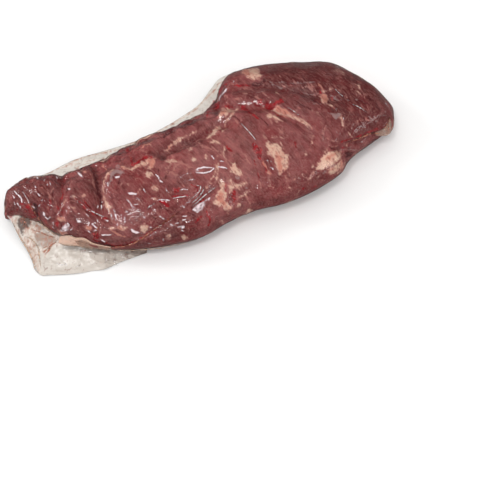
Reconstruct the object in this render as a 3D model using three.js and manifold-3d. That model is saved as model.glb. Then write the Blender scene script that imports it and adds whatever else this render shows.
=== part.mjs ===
// A whole beef tenderloin, raw, sealed in a clear vacuum bag and lying on its flat side.
// Millimetres. +X runs from the folded bag end to the thick head of the muscle, +Y to the back,
// +Z up. The origin is on the ground, under the middle of the pack.
//
// The shape is a loft. Stations along X give the front edge, the back edge and the crown of the
// pack. Each cross-section is a rounded box with its underside cut flat by the ground, and the left
// end is raised a little. Lobes raise the top and grooves sink it where the film follows the
// muscles. The spare film of the bag is a margin along the back, a rolled lip along the front and a
// tail that lies on the ground.

import * as THREE from 'three';
import { mergeVertices } from 'three/addons/utils/BufferGeometryUtils.js';
import Module from 'manifold-3d';

// Driving sizes of the pack
const STATIONS = [
  { x: -239, front: 4, back: 4, crown: 42 },
  { x: -226, front: 0, back: 28, crown: 43 },
  { x: -206, front: -17, back: 37, crown: 47 },
  { x: -180, front: -51, back: 34, crown: 50 },
  { x: -150, front: -74, back: 30, crown: 51 },
  { x: -115, front: -88, back: 31, crown: 53 },
  { x: -75, front: -98, back: 41, crown: 56 },
  { x: -35, front: -101, back: 46, crown: 57 },
  { x: 0, front: -93, back: 50, crown: 57 },
  { x: 30, front: -89, back: 59, crown: 57 },
  { x: 45, front: -90, back: 76, crown: 58 },
  { x: 60, front: -92, back: 93, crown: 59 },
  { x: 90, front: -91, back: 100, crown: 60 },
  { x: 120, front: -85, back: 95, crown: 60 },
  { x: 146, front: -75, back: 88, crown: 59 },
  { x: 162, front: -62, back: 84, crown: 57 },
  { x: 190, front: -50, back: 72, crown: 54 },
  { x: 212, front: -41, back: 43, crown: 50 },
  { x: 230, front: -32, back: 12, crown: 44 },
  { x: 239, front: -13, back: -13, crown: 40 },
];
const MIDDLE_Y = 6.1; // middle of the whole pack across, in the plan of the stations
const WIDEST_SHARE = 0.44; // height of the widest line, as a share of the crown
const UNDERSIDE_DEPTH = 1.2; // how far the rounded underside would reach, before the ground cuts it
const SIDE_POWER = 2 / 2.2; // 1 is an ellipse, less is a fuller side
const TOP_POWER = 2 / 2.05;
const END_ROUNDING = { left: 24, right: 22 };
const END_LIFT = { rise: 8, from: -218, to: -185 }; // the left end's underside is off the ground
const EVEN_SHARE = 0.65; // the rest of the rings crowds towards the two ends
const RINGS = 82;
const RING_SIDES = 38;

// Lobes of muscle under the film: centre, half length, half width, turn in degrees, rise
const LOBES = [
  { x: 138, y: 52, long: 62, wide: 20, turn: -16, rise: 3 },
  { x: 88, y: -24, long: 52, wide: 40, turn: -10, rise: 2 },
  { x: -92, y: -42, long: 36, wide: 34, turn: 0, rise: 4 },
  { x: -4, y: 29, long: 46, wide: 12, turn: 6, rise: 4 },
  { x: -148, y: -18, long: 17, wide: 30, turn: -12, rise: 3 },
  { x: -192, y: 2, long: 18, wide: 24, turn: -20, rise: 3 },
  { x: 205, y: -12, long: 22, wide: 24, turn: -20, rise: 2 },
];

// Furrows between the muscles, where the film dips: path on the plan, half width, depth
const GROOVES = [
  { name: 'under the head strip', path: [[64, 60], [94, 50], [131, 27], [177, 0]], wide: 9, deep: 3 },
  { name: 'end of the head lobe', path: [[41, 74], [34, 42], [66, 28], [90, 20]], wide: 8, deep: 5 },
  { name: 'below the fat seam', path: [[90, 20], [104, -2], [122, -32]], wide: 7, deep: 3 },
  { name: 'along the back strap', path: [[-46, 0], [-18, 5], [9, 13], [40, 15]], wide: 8, deep: 4 },
  { name: 'beside the round lobe', path: [[-122, 16], [-127, -8], [-131, -26], [-136, -46]], wide: 8, deep: 6 },
  { name: 'left furrow', path: [[-161, 28], [-168, 0], [-178, -26], [-188, -42]], wide: 7, deep: 5 },
  { name: 'end notch', path: [[-214, 12], [-206, -8], [-203, -24]], wide: 5, deep: 4 },
  { name: 'diagonal fold', path: [[-160, -22], [-147, -42], [-131, -60]], wide: 6, deep: 3 },
  { name: 'front seam', path: [[-147, -75], [-115, -85], [-78, -83], [-40, -75], [0, -60]], wide: 7, deep: 4 },
  { name: 'right seam', path: [[148, -54], [178, -50], [200, -44], [224, -32]], wide: 6, deep: 3 },
  { name: 'corner under the head', path: [[150, -58], [164, -72]], wide: 7, deep: 7 },
];

// Spare film of the bag
const FILM = 1.6; // two clinging layers with the juice between them
const MARGIN_EDGE = [
  [-222, 34], [-206, 46], [-175, 50], [-140, 57], [-100, 57], [-60, 58], [-30, 64],
  [0, 73], [25, 83], [45, 99], [62, 111], [90, 113], [118, 104], [136, 90],
];
const MARGIN = { root: 21, edge: 9, bite: 14, sag: 1.5, steps: 30, across: 4 };
const TAIL_EDGE = [
  [-238, 2, 18], [-233, -12, 12], [-228, -30, 6], [-223, -52, 2], [-218, -72, 0.8], [-208, -79, 0.8],
  [-178, -88, 0.8], [-150, -92, 0.8], [-120, -91, 0.8], [-98, -89, 0.8], [-92, -82, 0.8],
];
const TAIL_ROOT = [
  [-230, 4, 19], [-212, -6, 20], [-196, -18, 20], [-184, -30, 19], [-172, -42, 17], [-162, -50, 14],
  [-148, -58, 10], [-134, -64, 7], [-118, -70, 5], [-100, -72, 4], [-90, -72, 4],
];
const TAIL = { sag: 1.5, steps: 34, across: 6 };
const LIP = { from: -190, to: -40, tuck: 6, bite: 26, root: 11, edge: 6, steps: 24, across: 2 };

const film = new THREE.MeshStandardMaterial({ color: 0x7a3b3e, roughness: 0.25, metalness: 0 });

// A smooth curve through uneven knots, as cubic Hermite pieces with central slopes
function smooth(at, knots, values) {
  const last = knots.length - 1;
  let i = 0;
  while (i < last - 1 && at > knots[i + 1]) {
    i += 1;
  }
  const h = knots[i + 1] - knots[i];
  const t = Math.min(Math.max((at - knots[i]) / h, 0), 1);
  const a = slope(i, knots, values) * h;
  const b = slope(i + 1, knots, values) * h;
  const t2 = t * t;
  const t3 = t2 * t;
  return (2 * t3 - 3 * t2 + 1) * values[i] + (t3 - 2 * t2 + t) * a
    + (3 * t2 - 2 * t3) * values[i + 1] + (t3 - t2) * b;
}

// Slope at a knot: the weighted mean of the slopes on its two sides
function slope(i, knots, values) {
  const last = knots.length - 1;
  const side = (k) => (values[k + 1] - values[k]) / (knots[k + 1] - knots[k]);
  if (i === 0) {
    return side(0);
  }
  if (i === last) {
    return side(last - 1);
  }
  const before = knots[i] - knots[i - 1];
  const after = knots[i + 1] - knots[i];
  return (side(i - 1) * after + side(i) * before) / (before + after);
}

const stationX = STATIONS.map((s) => s.x);
const frontAt = (x) => smooth(x, stationX, STATIONS.map((s) => s.front));
const backAt = (x) => smooth(x, stationX, STATIONS.map((s) => s.back));
const crownAt = (x) => smooth(x, stationX, STATIONS.map((s) => s.crown));

// Quarter-round closing of an end: 0 at the tip, 1 from the rounding's length on
function roundEnd(distance, rounding) {
  const t = Math.min(Math.max(distance / rounding, 0), 1);
  return Math.sqrt(1 - (1 - t) * (1 - t));
}

// Height of the underside over the ground
function liftAt(x) {
  const t = Math.min(Math.max((END_LIFT.to - x) / (END_LIFT.to - END_LIFT.from), 0), 1);
  return END_LIFT.rise * t * t * (3 - 2 * t);
}

// Distance on the plan from a point to a path of straight stretches
function distanceToPath(x, y, path) {
  let best = Infinity;
  for (let i = 0; i < path.length - 1; i += 1) {
    const [ax, ay] = path[i];
    const [bx, by] = path[i + 1];
    const along = (x - ax) * (bx - ax) + (y - ay) * (by - ay);
    const t = Math.min(Math.max(along / ((bx - ax) ** 2 + (by - ay) ** 2), 0), 1);
    best = Math.min(best, Math.hypot(x - ax - t * (bx - ax), y - ay - t * (by - ay)));
  }
  return best;
}

// Rise of the film over the plain loft: bell-shaped lobes, less the deepest furrow at this place
function reliefAt(x, y) {
  let rise = 0;
  for (const lobe of LOBES) {
    const turn = THREE.MathUtils.degToRad(lobe.turn);
    const along = (x - lobe.x) * Math.cos(turn) + (y - lobe.y) * Math.sin(turn);
    const aside = (y - lobe.y) * Math.cos(turn) - (x - lobe.x) * Math.sin(turn);
    rise += lobe.rise * Math.exp(-((along / lobe.long) ** 2) - (aside / lobe.wide) ** 2);
  }
  const dips = GROOVES.map((groove) => (
    groove.deep * Math.exp(-((distanceToPath(x, y, groove.path) / groove.wide) ** 2))
  ));
  return rise - Math.max(...dips);
}

const signedPower = (value, power) => Math.sign(value) * Math.abs(value) ** power;

// A point of the pack: x along it, turn once round the cross-section from the back over the top
function packPoint(x, turn) {
  const front = frontAt(x);
  const back = backAt(x);
  const crown = crownAt(x);
  const widest = WIDEST_SHARE * crown;
  const first = STATIONS[0].x;
  const last = STATIONS[STATIONS.length - 1].x;
  const closing = roundEnd(x - first, END_ROUNDING.left) * roundEnd(last - x, END_ROUNDING.right);
  const across = signedPower(Math.cos(turn), SIDE_POWER);
  const lift = signedPower(Math.sin(turn), TOP_POWER);
  const y = (front + back) / 2 + across * (back - front) / 2;
  if (lift < 0) {
    return new THREE.Vector3(x, y, Math.max(liftAt(x), widest + UNDERSIDE_DEPTH * widest * closing * lift));
  }
  const relief = closing * Math.min(1, 1.6 * lift) * reliefAt(x, y);
  return new THREE.Vector3(x, y, widest + (crown - widest) * closing * lift + relief);
}

// A closed body from rings of points, each end drawn together in one point
function closedLoft(tip, rings, end) {
  const points = [tip, ...rings.flat(), end];
  const sides = rings[0].length;
  const index = [];
  const at = (ring, side) => 1 + ring * sides + (side % sides);
  for (let side = 0; side < sides; side += 1) {
    index.push(0, at(0, side), at(0, side + 1));
    index.push(points.length - 1, at(rings.length - 1, side + 1), at(rings.length - 1, side));
    for (let ring = 0; ring < rings.length - 1; ring += 1) {
      index.push(at(ring, side), at(ring + 1, side), at(ring + 1, side + 1));
      index.push(at(ring, side), at(ring + 1, side + 1), at(ring, side + 1));
    }
  }
  const geometry = new THREE.BufferGeometry().setFromPoints(points);
  geometry.setIndex(signedVolume(points, index) > 0 ? index : index.reverse());
  return geometry;
}

// Six times the volume inside the faces, below zero where they point inwards
function signedVolume(points, index) {
  let volume = 0;
  for (let i = 0; i < index.length; i += 3) {
    const [a, b, c] = [points[index[i]], points[index[i + 1]], points[index[i + 2]]];
    volume += a.dot(b.clone().cross(c));
  }
  return volume;
}

// The meat in its film, without the spare film
function makeBody() {
  const first = STATIONS[0].x;
  const length = STATIONS[STATIONS.length - 1].x - first;
  const ringX = (k) => {
    const even = k / RINGS;
    const crowded = (1 - Math.cos(Math.PI * even)) / 2;
    return first + length * (EVEN_SHARE * even + (1 - EVEN_SHARE) * crowded);
  };
  const rings = [];
  for (let k = 1; k < RINGS; k += 1) {
    const ring = [];
    for (let side = 0; side < RING_SIDES; side += 1) {
      ring.push(packPoint(ringX(k), 2 * Math.PI * side / RING_SIDES));
    }
    rings.push(ring);
  }
  return closedLoft(packPoint(first, 0), rings, packPoint(first + length, 0));
}

// A closed sheet of the film's thickness between a root line and an edge line. The drop from
// root to edge is steep at first and then flattens, by the power sag.
function makeSheet(rootAt, edgeAt, { steps, across, sag }) {
  const rings = [];
  for (let k = 0; k <= steps; k += 1) {
    const root = rootAt(k / steps);
    const edge = edgeAt(k / steps);
    const middle = [];
    for (let m = 0; m <= across; m += 1) {
      const point = root.clone().lerp(edge, m / across);
      point.z = edge.z + (root.z - edge.z) * (1 - m / across) ** sag;
      middle.push(point);
    }
    const lift = (point, by) => new THREE.Vector3(point.x, point.y, Math.max(0, point.z + by));
    rings.push([
      ...middle.map((point) => lift(point, FILM / 2)),
      ...middle.map((point) => lift(point, -FILM / 2)).reverse(),
    ]);
  }
  const centre = (ring) => ring.reduce((sum, p) => sum.add(p), new THREE.Vector3()).divideScalar(ring.length);
  return closedLoft(centre(rings[0]), rings, centre(rings[steps]));
}

// A point at a share of the way along a smooth curve through given points
function along(points, share) {
  const knots = points.map((_, i) => i);
  const at = share * (points.length - 1);
  const pick = (axis) => smooth(at, knots, points.map((p) => p[axis] ?? 0));
  return new THREE.Vector3(pick(0), pick(1), pick(2));
}

// The margin of flat film behind the pack, from the widest line down to a free edge
function makeMargin() {
  const edgeAt = (share) => along(MARGIN_EDGE, share).setZ(MARGIN.edge);
  const rootAt = (share) => {
    const edge = edgeAt(share);
    return new THREE.Vector3(edge.x, Math.min(edge.y, backAt(edge.x)) - MARGIN.bite, MARGIN.root);
  };
  return makeSheet(rootAt, edgeAt, MARGIN);
}

// The spare end of the bag, drawn down from the left end and spread on the ground
function makeTail() {
  return makeSheet((share) => along(TAIL_ROOT, share), (share) => along(TAIL_EDGE, share), TAIL);
}

// The rolled film edge that peeps out under the front
function makeLip() {
  const xAt = (share) => LIP.from + (LIP.to - LIP.from) * share;
  const tuckAt = (share) => LIP.tuck + LIP.tuck * (2 * share - 1) ** 4;
  const edgeAt = (share) => new THREE.Vector3(xAt(share), frontAt(xAt(share)) + tuckAt(share), LIP.edge);
  const rootAt = (share) => new THREE.Vector3(xAt(share), frontAt(xAt(share)) + LIP.bite, LIP.root);
  return makeSheet(rootAt, edgeAt, { ...LIP, sag: 1 });
}

const wasm = await Module();
wasm.setup();

function toSolid(geometry) {
  const merged = mergeVertices(geometry);
  return new wasm.Manifold(new wasm.Mesh({
    numProp: 3,
    vertProperties: merged.attributes.position.array,
    triVerts: new Uint32Array(merged.index.array),
  }));
}

function toGeometry(solid) {
  const { vertProperties, triVerts } = solid.getMesh();
  const geometry = new THREE.BufferGeometry();
  geometry.setAttribute('position', new THREE.BufferAttribute(vertProperties, 3));
  geometry.setIndex(new THREE.BufferAttribute(triVerts, 1));
  geometry.computeVertexNormals();
  return geometry;
}

function makePack() {
  const spareFilm = [makeMargin(), makeTail(), makeLip()];
  const joined = spareFilm.reduce((solid, sheet) => solid.add(toSolid(sheet)), toSolid(makeBody()));
  const pack = new THREE.Mesh(toGeometry(joined), film);
  pack.name = 'vacuum_pack';
  pack.position.y = -MIDDLE_Y;
  return pack;
}

const group = new THREE.Group();
group.add(makePack());

export default group;
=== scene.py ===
"""A whole raw beef tenderloin, sealed in a clear vacuum bag that lies on its flat side.

The form is worked out in millimetres in the plan of the pack, with +X to the thick head, +Y to the
back and +Z up, and put into the meshes in metres. What the photograph shows at one place is given
there by its pixel, and lifted onto the surface.
"""

import itertools
import logging
import math
from dataclasses import dataclass, field
from enum import Enum
from typing import Any, Callable, Sequence

import bpy
import numpy as np
from bpy.types import Material, Node, NodeSocket as Socket, NodeTree, Object
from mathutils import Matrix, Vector


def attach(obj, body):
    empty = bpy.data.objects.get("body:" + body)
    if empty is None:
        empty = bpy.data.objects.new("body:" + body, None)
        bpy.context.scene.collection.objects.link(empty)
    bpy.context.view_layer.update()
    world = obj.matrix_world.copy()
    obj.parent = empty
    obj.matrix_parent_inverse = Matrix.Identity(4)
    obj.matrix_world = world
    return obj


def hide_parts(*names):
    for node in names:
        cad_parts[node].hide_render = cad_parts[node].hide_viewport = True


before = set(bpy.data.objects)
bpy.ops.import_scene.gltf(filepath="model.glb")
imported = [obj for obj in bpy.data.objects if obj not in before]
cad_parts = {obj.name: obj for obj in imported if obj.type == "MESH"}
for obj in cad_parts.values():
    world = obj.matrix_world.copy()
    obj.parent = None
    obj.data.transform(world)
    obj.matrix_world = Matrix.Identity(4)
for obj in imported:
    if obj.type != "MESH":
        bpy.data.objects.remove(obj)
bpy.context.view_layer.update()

Array = np.ndarray
Pair = tuple[float, float]
Triple = tuple[float, float, float]
Path = tuple[Pair, ...]
Tone = tuple[float, ...]
Inputs = dict[str | int, Any]
log = logging.getLogger("tenderloin")

MM = 0.001
BODY = "root"
NODE = "vacuum_pack"
MIDDLE_Y = 6.1  # middle of the whole pack across, in the plan of the stations


# Fields on grids of points


def gradient_noise(places: Array, cell: float, seed: int) -> Array:
    """Smooth noise. Each corner of a cube of side cell has a fixed random slope, and the slopes are
    blended over the cube with the quintic 6t^5 - 15t^4 + 10t^3.

    Args:
        places: points in millimetres, X, Y and Z on the last axis.
        cell: side of a cube in millimetres.
        seed: picks the slopes.

    Returns:
        Values from about -1 to 1, one for each place.
    """
    slopes = np.random.default_rng(97).normal(size=(256, 3))
    slopes /= np.linalg.norm(slopes, axis=1, keepdims=True)
    scaled = places / cell
    base = np.floor(scaled).astype(np.int64)
    inside = scaled - base
    blend = inside**3 * (inside * (inside * 6 - 15) + 10)
    total = np.zeros(places.shape[:-1])
    for corner in itertools.product((0, 1), repeat=3):
        at = base + np.array(corner)
        code = at[..., 0] * 73856093 ^ at[..., 1] * 19349663 ^ at[..., 2] * 83492791
        code = code ^ seed * 15485863
        code = (code ^ (code >> 13)) * 1274126177
        slope = slopes[(code >> 7) & 255]
        weight = np.prod(np.where(np.array(corner) == 1, blend, 1 - blend), axis=-1)
        total += weight * np.sum(slope * (inside - np.array(corner)), axis=-1)
    return total * 1.6


def fractal(places: Array, cell: float, seed: int, octaves: int = 3) -> Array:
    """Noise at cell, cell / 2, cell / 4 and so on, each at half the strength of the one before."""
    layers = [gradient_noise(places, cell / 2**k, seed + k) / 2**k for k in range(octaves)]
    return np.sum(layers, axis=0)


def smoothstep(value: Array, low: float, high: float) -> Array:
    """0 below low, 1 above high, and 3t^2 - 2t^3 between them."""
    t = np.clip((value - low) / (high - low), 0, 1)
    return t * t * (3 - 2 * t)


def smooth_curve(at: Array, knots: Array, values: Array) -> Array:
    """Cubic Hermite pieces through the knots with central slopes, as the solid has them.

    Args:
        at: where to read the curve.
        knots: rising places of the given values.
        values: one value, or one row of values, for each knot.

    Returns:
        The curve at each place.
    """
    values = np.asarray(values, float)
    slopes = np.gradient(values, knots, axis=0)
    i = np.clip(np.searchsorted(knots, at) - 1, 0, len(knots) - 2)
    shape = i.shape + (1,) * (values.ndim - 1)
    span = (knots[i + 1] - knots[i]).reshape(shape)
    t = np.clip((at - knots[i]).reshape(shape) / span, 0, 1)
    return (
        (2 * t**3 - 3 * t**2 + 1) * values[i]
        + (t**3 - 2 * t**2 + t) * span * slopes[i]
        + (3 * t**2 - 2 * t**3) * values[i + 1]
        + (t**3 - t**2) * span * slopes[i + 1]
    )


def resample(points: Array, count: int) -> Array:
    """A smooth curve through the points, read at count even steps of its parameter."""
    knots = np.arange(len(points), dtype=float)
    return smooth_curve(np.linspace(0, knots[-1], count), knots, points)


def path_distance(places: Array, path: Array) -> tuple[Array, Array]:
    """The nearest point of a path of straight stretches.

    Args:
        places: points, coordinates on the last axis.
        path: the path's corners.

    Returns:
        The distance of each place to the path, and how far along it, from 0 to 1, the nearest point
        is.
    """
    lengths = np.linalg.norm(np.diff(path, axis=0), axis=1)
    before = np.concatenate([[0], np.cumsum(lengths)])
    best, share = np.full(places.shape[:-1], np.inf), np.zeros(places.shape[:-1])
    for k, start in enumerate(path[:-1]):
        way = path[k + 1] - start
        t = np.clip((places - start) @ way / max(way @ way, 1e-9), 0, 1)
        away = np.linalg.norm(places - start - t[..., None] * way, axis=-1)
        share = np.where(away < best, (before[k] + t * lengths[k]) / max(before[-1], 1e-9), share)
        best = np.minimum(best, away)
    return best, share


def enclosed(places: Array, outline: Array) -> Array:
    """Whether each place of a plane lies inside a closed outline: then a line from it crosses an
    odd number of the outline's sides.

    Args:
        places: points, x and y on the last axis.
        outline: the outline's corners.

    Returns:
        True or False for each place.
    """
    x, y = places[..., 0, None], places[..., 1, None]
    (x0, y0), (x1, y1) = outline.T, np.roll(outline, -1, axis=0).T
    slope = (x1 - x0) / np.where(y1 == y0, 1e-9, y1 - y0)
    crossed = ((y0 > y) != (y1 > y)) & (x < x0 + (y - y0) * slope)
    return np.sum(crossed, axis=-1) % 2 == 1


def neighbours(values: Array) -> tuple[Array, Array, Array, Array]:
    """The four neighbours of each value of a grid that closes on itself along its second axis."""
    ends = np.concatenate([values[:1], values, values[-1:]])
    return ends[:-2], ends[2:], np.roll(values, 1, 1), np.roll(values, -1, 1)


def blurred(values: Array, rounds: int) -> Array:
    """Each round takes half of a value and an eighth of each of its four neighbours.

    Args:
        values: a grid.
        rounds: how many.

    Returns:
        The smoothed grid.
    """
    for _ in range(rounds):
        values = values / 2 + sum(neighbours(values)) / 8
    return values


def swollen(values: Array, rounds: int) -> Array:
    """Each round takes the highest of a value and its four neighbours.

    Args:
        values: a grid.
        rounds: how many.

    Returns:
        The spread grid.
    """
    for _ in range(rounds):
        values = np.maximum.reduce([values, *neighbours(values)])
    return values


def unit(ways: Array) -> Array:
    """Directions of length 1."""
    return ways / np.maximum(np.linalg.norm(ways, axis=-1, keepdims=True), 1e-9)


def off_ground(normals: Array) -> Array:
    """1 where a surface looks up or aside, and 0 where it lies on the ground."""
    return 1 - smoothstep(-normals[..., 2], 0.3, 0.8)


def ring_normals(rings: Array) -> Array:
    """Outward unit normals of a grid of closed rings: the cross product of the two central
    differences.

    Args:
        rings: points, one row for each ring. The rings follow each other along +X and turn from +Y
            over +Z.

    Returns:
        One normal for each point.
    """
    along = np.gradient(rings, axis=0)
    around = np.roll(rings, -1, 1) - np.roll(rings, 1, 1)
    normals = unit(np.cross(around, along))
    normals[0], normals[-1] = (-1, 0, 0), (1, 0, 0)
    return normals


def sheet_normals(sheet: Array) -> Array:
    """Unit normals of an open grid, all on the side on which most of them face the photograph."""
    normals = unit(np.cross(np.gradient(sheet, axis=0), np.gradient(sheet, axis=1)))
    return normals * np.sign(normals.mean(axis=(0, 1)) @ PhotoView().axes[2])


# Meshes


def body_of_rings(rings: Array) -> tuple[Array, Array, Array]:
    """A closed body from rings of points, its first and last ring drawn together in one point each.

    Args:
        rings: points, one row for each ring.

    Returns:
        Its points, its triangles and its quads, turned outwards by the sign of its volume, which is
        a sixth of the sum of a . (b x c) over its triangles.
    """
    count, sides = rings.shape[:2]
    tips = rings[[0, -1]].mean(axis=1)
    points = np.concatenate([tips[:1], rings[1:-1].reshape(-1, 3), tips[1:]])
    row, side = np.meshgrid(np.arange(count - 3), np.arange(sides), indexing="ij")
    here, after = 1 + row * sides + side, 1 + row * sides + (side + 1) % sides
    quads = np.stack([here, after, after + sides, here + sides], axis=-1).reshape(-1, 4)
    first, second = np.arange(sides), (np.arange(sides) + 1) % sides
    last_ring = 1 + (count - 3) * sides
    near = np.stack([np.zeros(sides, int), 1 + second, 1 + first], axis=-1)
    last_tip = np.full(sides, len(points) - 1)
    far = np.stack([last_tip, last_ring + first, last_ring + second], axis=-1)
    triangles = np.concatenate([near, far])
    split = np.concatenate([triangles, quads[:, [0, 1, 2]], quads[:, [0, 2, 3]]])
    a, b, c = points[split].transpose(1, 0, 2)
    if np.sum(a * np.cross(b, c)) < 0:
        triangles, quads = triangles[:, ::-1], quads[:, ::-1]
    return points, triangles, quads


def make_piece(name: str, bodies: Sequence[Array]) -> Object:
    """One smooth object from one or more bodies of rings, given in millimetres.

    Args:
        name: name of the piece.
        bodies: the rings of each closed body.

    Returns:
        The object, at the origin, with its place in its mesh.
    """
    points, faces, start = [], [], 0
    for rings in bodies:
        own, triangles, quads = body_of_rings(rings)
        points.append(own)
        faces += (triangles + start).tolist() + (quads + start).tolist()
        start += len(own)
    places = (np.concatenate(points) - np.array([0.0, MIDDLE_Y, 0.0])) * MM
    mesh = bpy.data.meshes.new(name)
    mesh.from_pydata(places.tolist(), [], faces)
    mesh.polygons.foreach_set("use_smooth", np.ones(len(faces), bool))
    mesh.update()
    piece = bpy.data.objects.new(name, mesh)
    bpy.context.scene.collection.objects.link(piece)
    return piece


def paint(piece: Object, name: str, *bodies: Array) -> None:
    """Puts one value for each place of the bodies' rings into a named point attribute.

    Args:
        piece: an object from make_piece.
        name: name of the attribute.
        bodies: for each body, one value for each point of its rings.
    """
    values = np.concatenate([
        part for rings in bodies
        for part in ([rings[0].mean()], rings[1:-1].ravel(), [rings[-1].mean()])
    ])
    layer = piece.data.attributes.new(name, "FLOAT", "POINT")
    layer.data.foreach_set("value", np.clip(values, 0, 1).astype(np.float32))


def slab(middle: Array, thickness: float) -> Array:
    """Rings of a closed sheet: its upper side out and its lower side back, half the thickness along
    the normal to either side of the middle, and never below the ground.

    Args:
        middle: points of the middle surface.
        thickness: in millimetres.

    Returns:
        Rings of points.
    """
    half = sheet_normals(middle) * thickness / 2
    rings = np.concatenate([middle + half, (middle - half)[:, ::-1]], axis=1)
    rings[..., 2] = np.maximum(rings[..., 2], 0)
    return rings


def dress(piece: Object, material: Material) -> None:
    """Gives a piece its material and its body, hides the solid that it stands for, and reports it.

    Args:
        piece: the finished piece.
        material: its material.
    """
    piece.data.materials.append(material)
    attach(piece, BODY)
    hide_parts(NODE)
    counts = len(piece.data.vertices), len(piece.data.polygons)
    log.info("%s: %d points, %d faces", piece.name, *counts)


# The photograph's view


@dataclass(frozen=True)
class Skin:
    """A grid of points with its outward normals."""

    places: Array
    normals: Array

    def normals_near(self, places: Array) -> Array:
        """The normal of the grid's nearest point to each of some places."""
        nearest = [np.argmin(np.linalg.norm(self.places - place, axis=-1)) for place in places]
        return self.normals.reshape(-1, 3)[nearest]


@dataclass(frozen=True)
class PhotoView:
    """The camera, and the way from a pixel of the photograph to a point of a surface. Sizes are in
    millimetres, degrees and pixels, and the target is in the plan of the stations. A surface shows
    where it faces the camera by at least the grazing share."""

    azimuth: float = -20
    elevation: float = 60
    distance: float = 1500
    scale: float = 1.15
    target: Triple = (8, -108, 0)
    picture: int = 480
    sensor: float = 36
    grazing: float = 0.1
    grazing_lift: float = 0.06
    longest_move: float = 3
    nowhere: float = -999

    @property
    def axes(self) -> Array:
        """The camera's right, up and backward directions.

        Returns:
            One direction a row.
        """
        turn, rise = math.radians(self.azimuth), math.radians(self.elevation)
        back = (math.sin(turn) * math.cos(rise), -math.cos(turn) * math.cos(rise), math.sin(rise))
        right = (math.cos(turn), math.sin(turn), 0)
        return np.array([right, np.cross(back, right), back])

    @property
    def eye(self) -> Array:
        """Where the camera stands."""
        return np.array(self.target) + self.axes[2] * self.distance

    @property
    def reach(self) -> float:
        """Distance of the picture from the eye, in pixels."""
        return self.distance / self.scale

    def pixels(self, places: Array) -> Array:
        """The pixel, across and down, at which each place shows."""
        seen = (places - self.eye) @ self.axes.T
        return self.picture / 2 + seen[..., :2] * (1, -1) * self.reach / -seen[..., 2:]

    def facing(self, skin: Skin, share: float) -> Array:
        """Which points of a surface face the camera by at least a share."""
        return np.sum(skin.normals * (self.eye - skin.places), axis=-1) > share * self.distance

    def shown_at(self, skin: Skin, shift: Array | float = 0) -> Array:
        """The pixel at which each point of a surface shows.

        Args:
            skin: the surface.
            shift: moves each pixel.

        Returns:
            One pixel for each point. A point that faces away gets a place far outside the picture.
        """
        facing = self.facing(skin, self.grazing)
        return np.where(facing[..., None], self.pixels(skin.places) + shift, self.nowhere)

    def beside(self, places: Array, pixels: Array) -> Array:
        """Moves places parallel to the picture, so that they show at some pixels.

        Args:
            places: one point a row.
            pixels: one pixel a row.

        Returns:
            The moved points.
        """
        depth = (self.eye - places) @ self.axes[2]
        move = (pixels - self.pixels(places)) * (1, -1) * depth[:, None] / self.reach
        return places + move @ self.axes[:2]

    def lift(self, pixels: Array, skin: Skin) -> Array:
        """The points of a surface that show at some pixels. Each is where the line of sight meets
        the tangent plane of the nearest point that faces the camera, and no further from that point
        than the longest move.

        Args:
            pixels: across and down, on the last axis.
            skin: the surface.

        Returns:
            One point for each pixel.
        """
        facing = self.facing(skin, self.grazing_lift)
        seen, slopes = skin.places[facing], skin.normals[facing]
        at = self.pixels(seen)
        nearest = np.argmin(np.linalg.norm(at[None] - pixels[:, None], axis=-1), axis=1)
        place, slope = seen[nearest], slopes[nearest]
        flat = (pixels - self.picture / 2) * (1, -1) / self.reach
        rays = np.concatenate([flat, -np.ones((len(flat), 1))], axis=-1) @ self.axes
        steps = np.sum((place - self.eye) * slope, axis=-1) / np.sum(rays * slope, axis=-1)
        move = self.eye + rays * steps[:, None] - place
        size = np.maximum(np.linalg.norm(move, axis=-1, keepdims=True), 1e-9)
        return place + move * np.minimum(1, self.longest_move / size)

    def place_camera(self) -> None:
        """Puts the camera in the scene, with a lens that fits the picture's scale."""
        data = bpy.data.cameras.new("camera")
        data.sensor_width = self.sensor
        data.lens = self.sensor * self.reach / self.picture
        data.clip_end = 20
        camera = bpy.data.objects.new("camera", data)
        camera.location = (self.eye - np.array([0.0, MIDDLE_Y, 0.0])) * MM
        camera.rotation_euler = Vector(self.axes[2]).to_track_quat("Z", "Y").to_euler()
        bpy.context.scene.collection.objects.link(camera)
        bpy.context.scene.camera = camera


# The form of the pack


@dataclass(frozen=True)
class Lobe:
    """A bell of muscle under the film: centre, half length, half width, turn in degrees, rise."""

    x: float
    y: float
    long: float
    wide: float
    turn: float
    rise: float

    def at(self, x: Array, y: Array) -> Array:
        """Its height, which falls with the square of the distance in an ellipse.

        Args:
            x: places along the pack.
            y: places across it.

        Returns:
            Millimetres at each place.
        """
        c, s = math.cos(math.radians(self.turn)), math.sin(math.radians(self.turn))
        along = (x - self.x) * c + (y - self.y) * s
        aside = (y - self.y) * c - (x - self.x) * s
        return self.rise * np.exp(-((along / self.long) ** 2) - (aside / self.wide) ** 2)


@dataclass(frozen=True)
class Groove:
    """A furrow between two muscles: its path on the plan, half width and depth."""

    place: str
    path: Path
    wide: float
    deep: float

    def at(self, plan: Array, narrow: float = 1) -> Array:
        """Its depth, bell-shaped across the path, at a share of its half width."""
        away, _ = path_distance(plan, np.array(self.path, float))
        return self.deep * np.exp(-((away / self.wide / narrow) ** 2))


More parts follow.
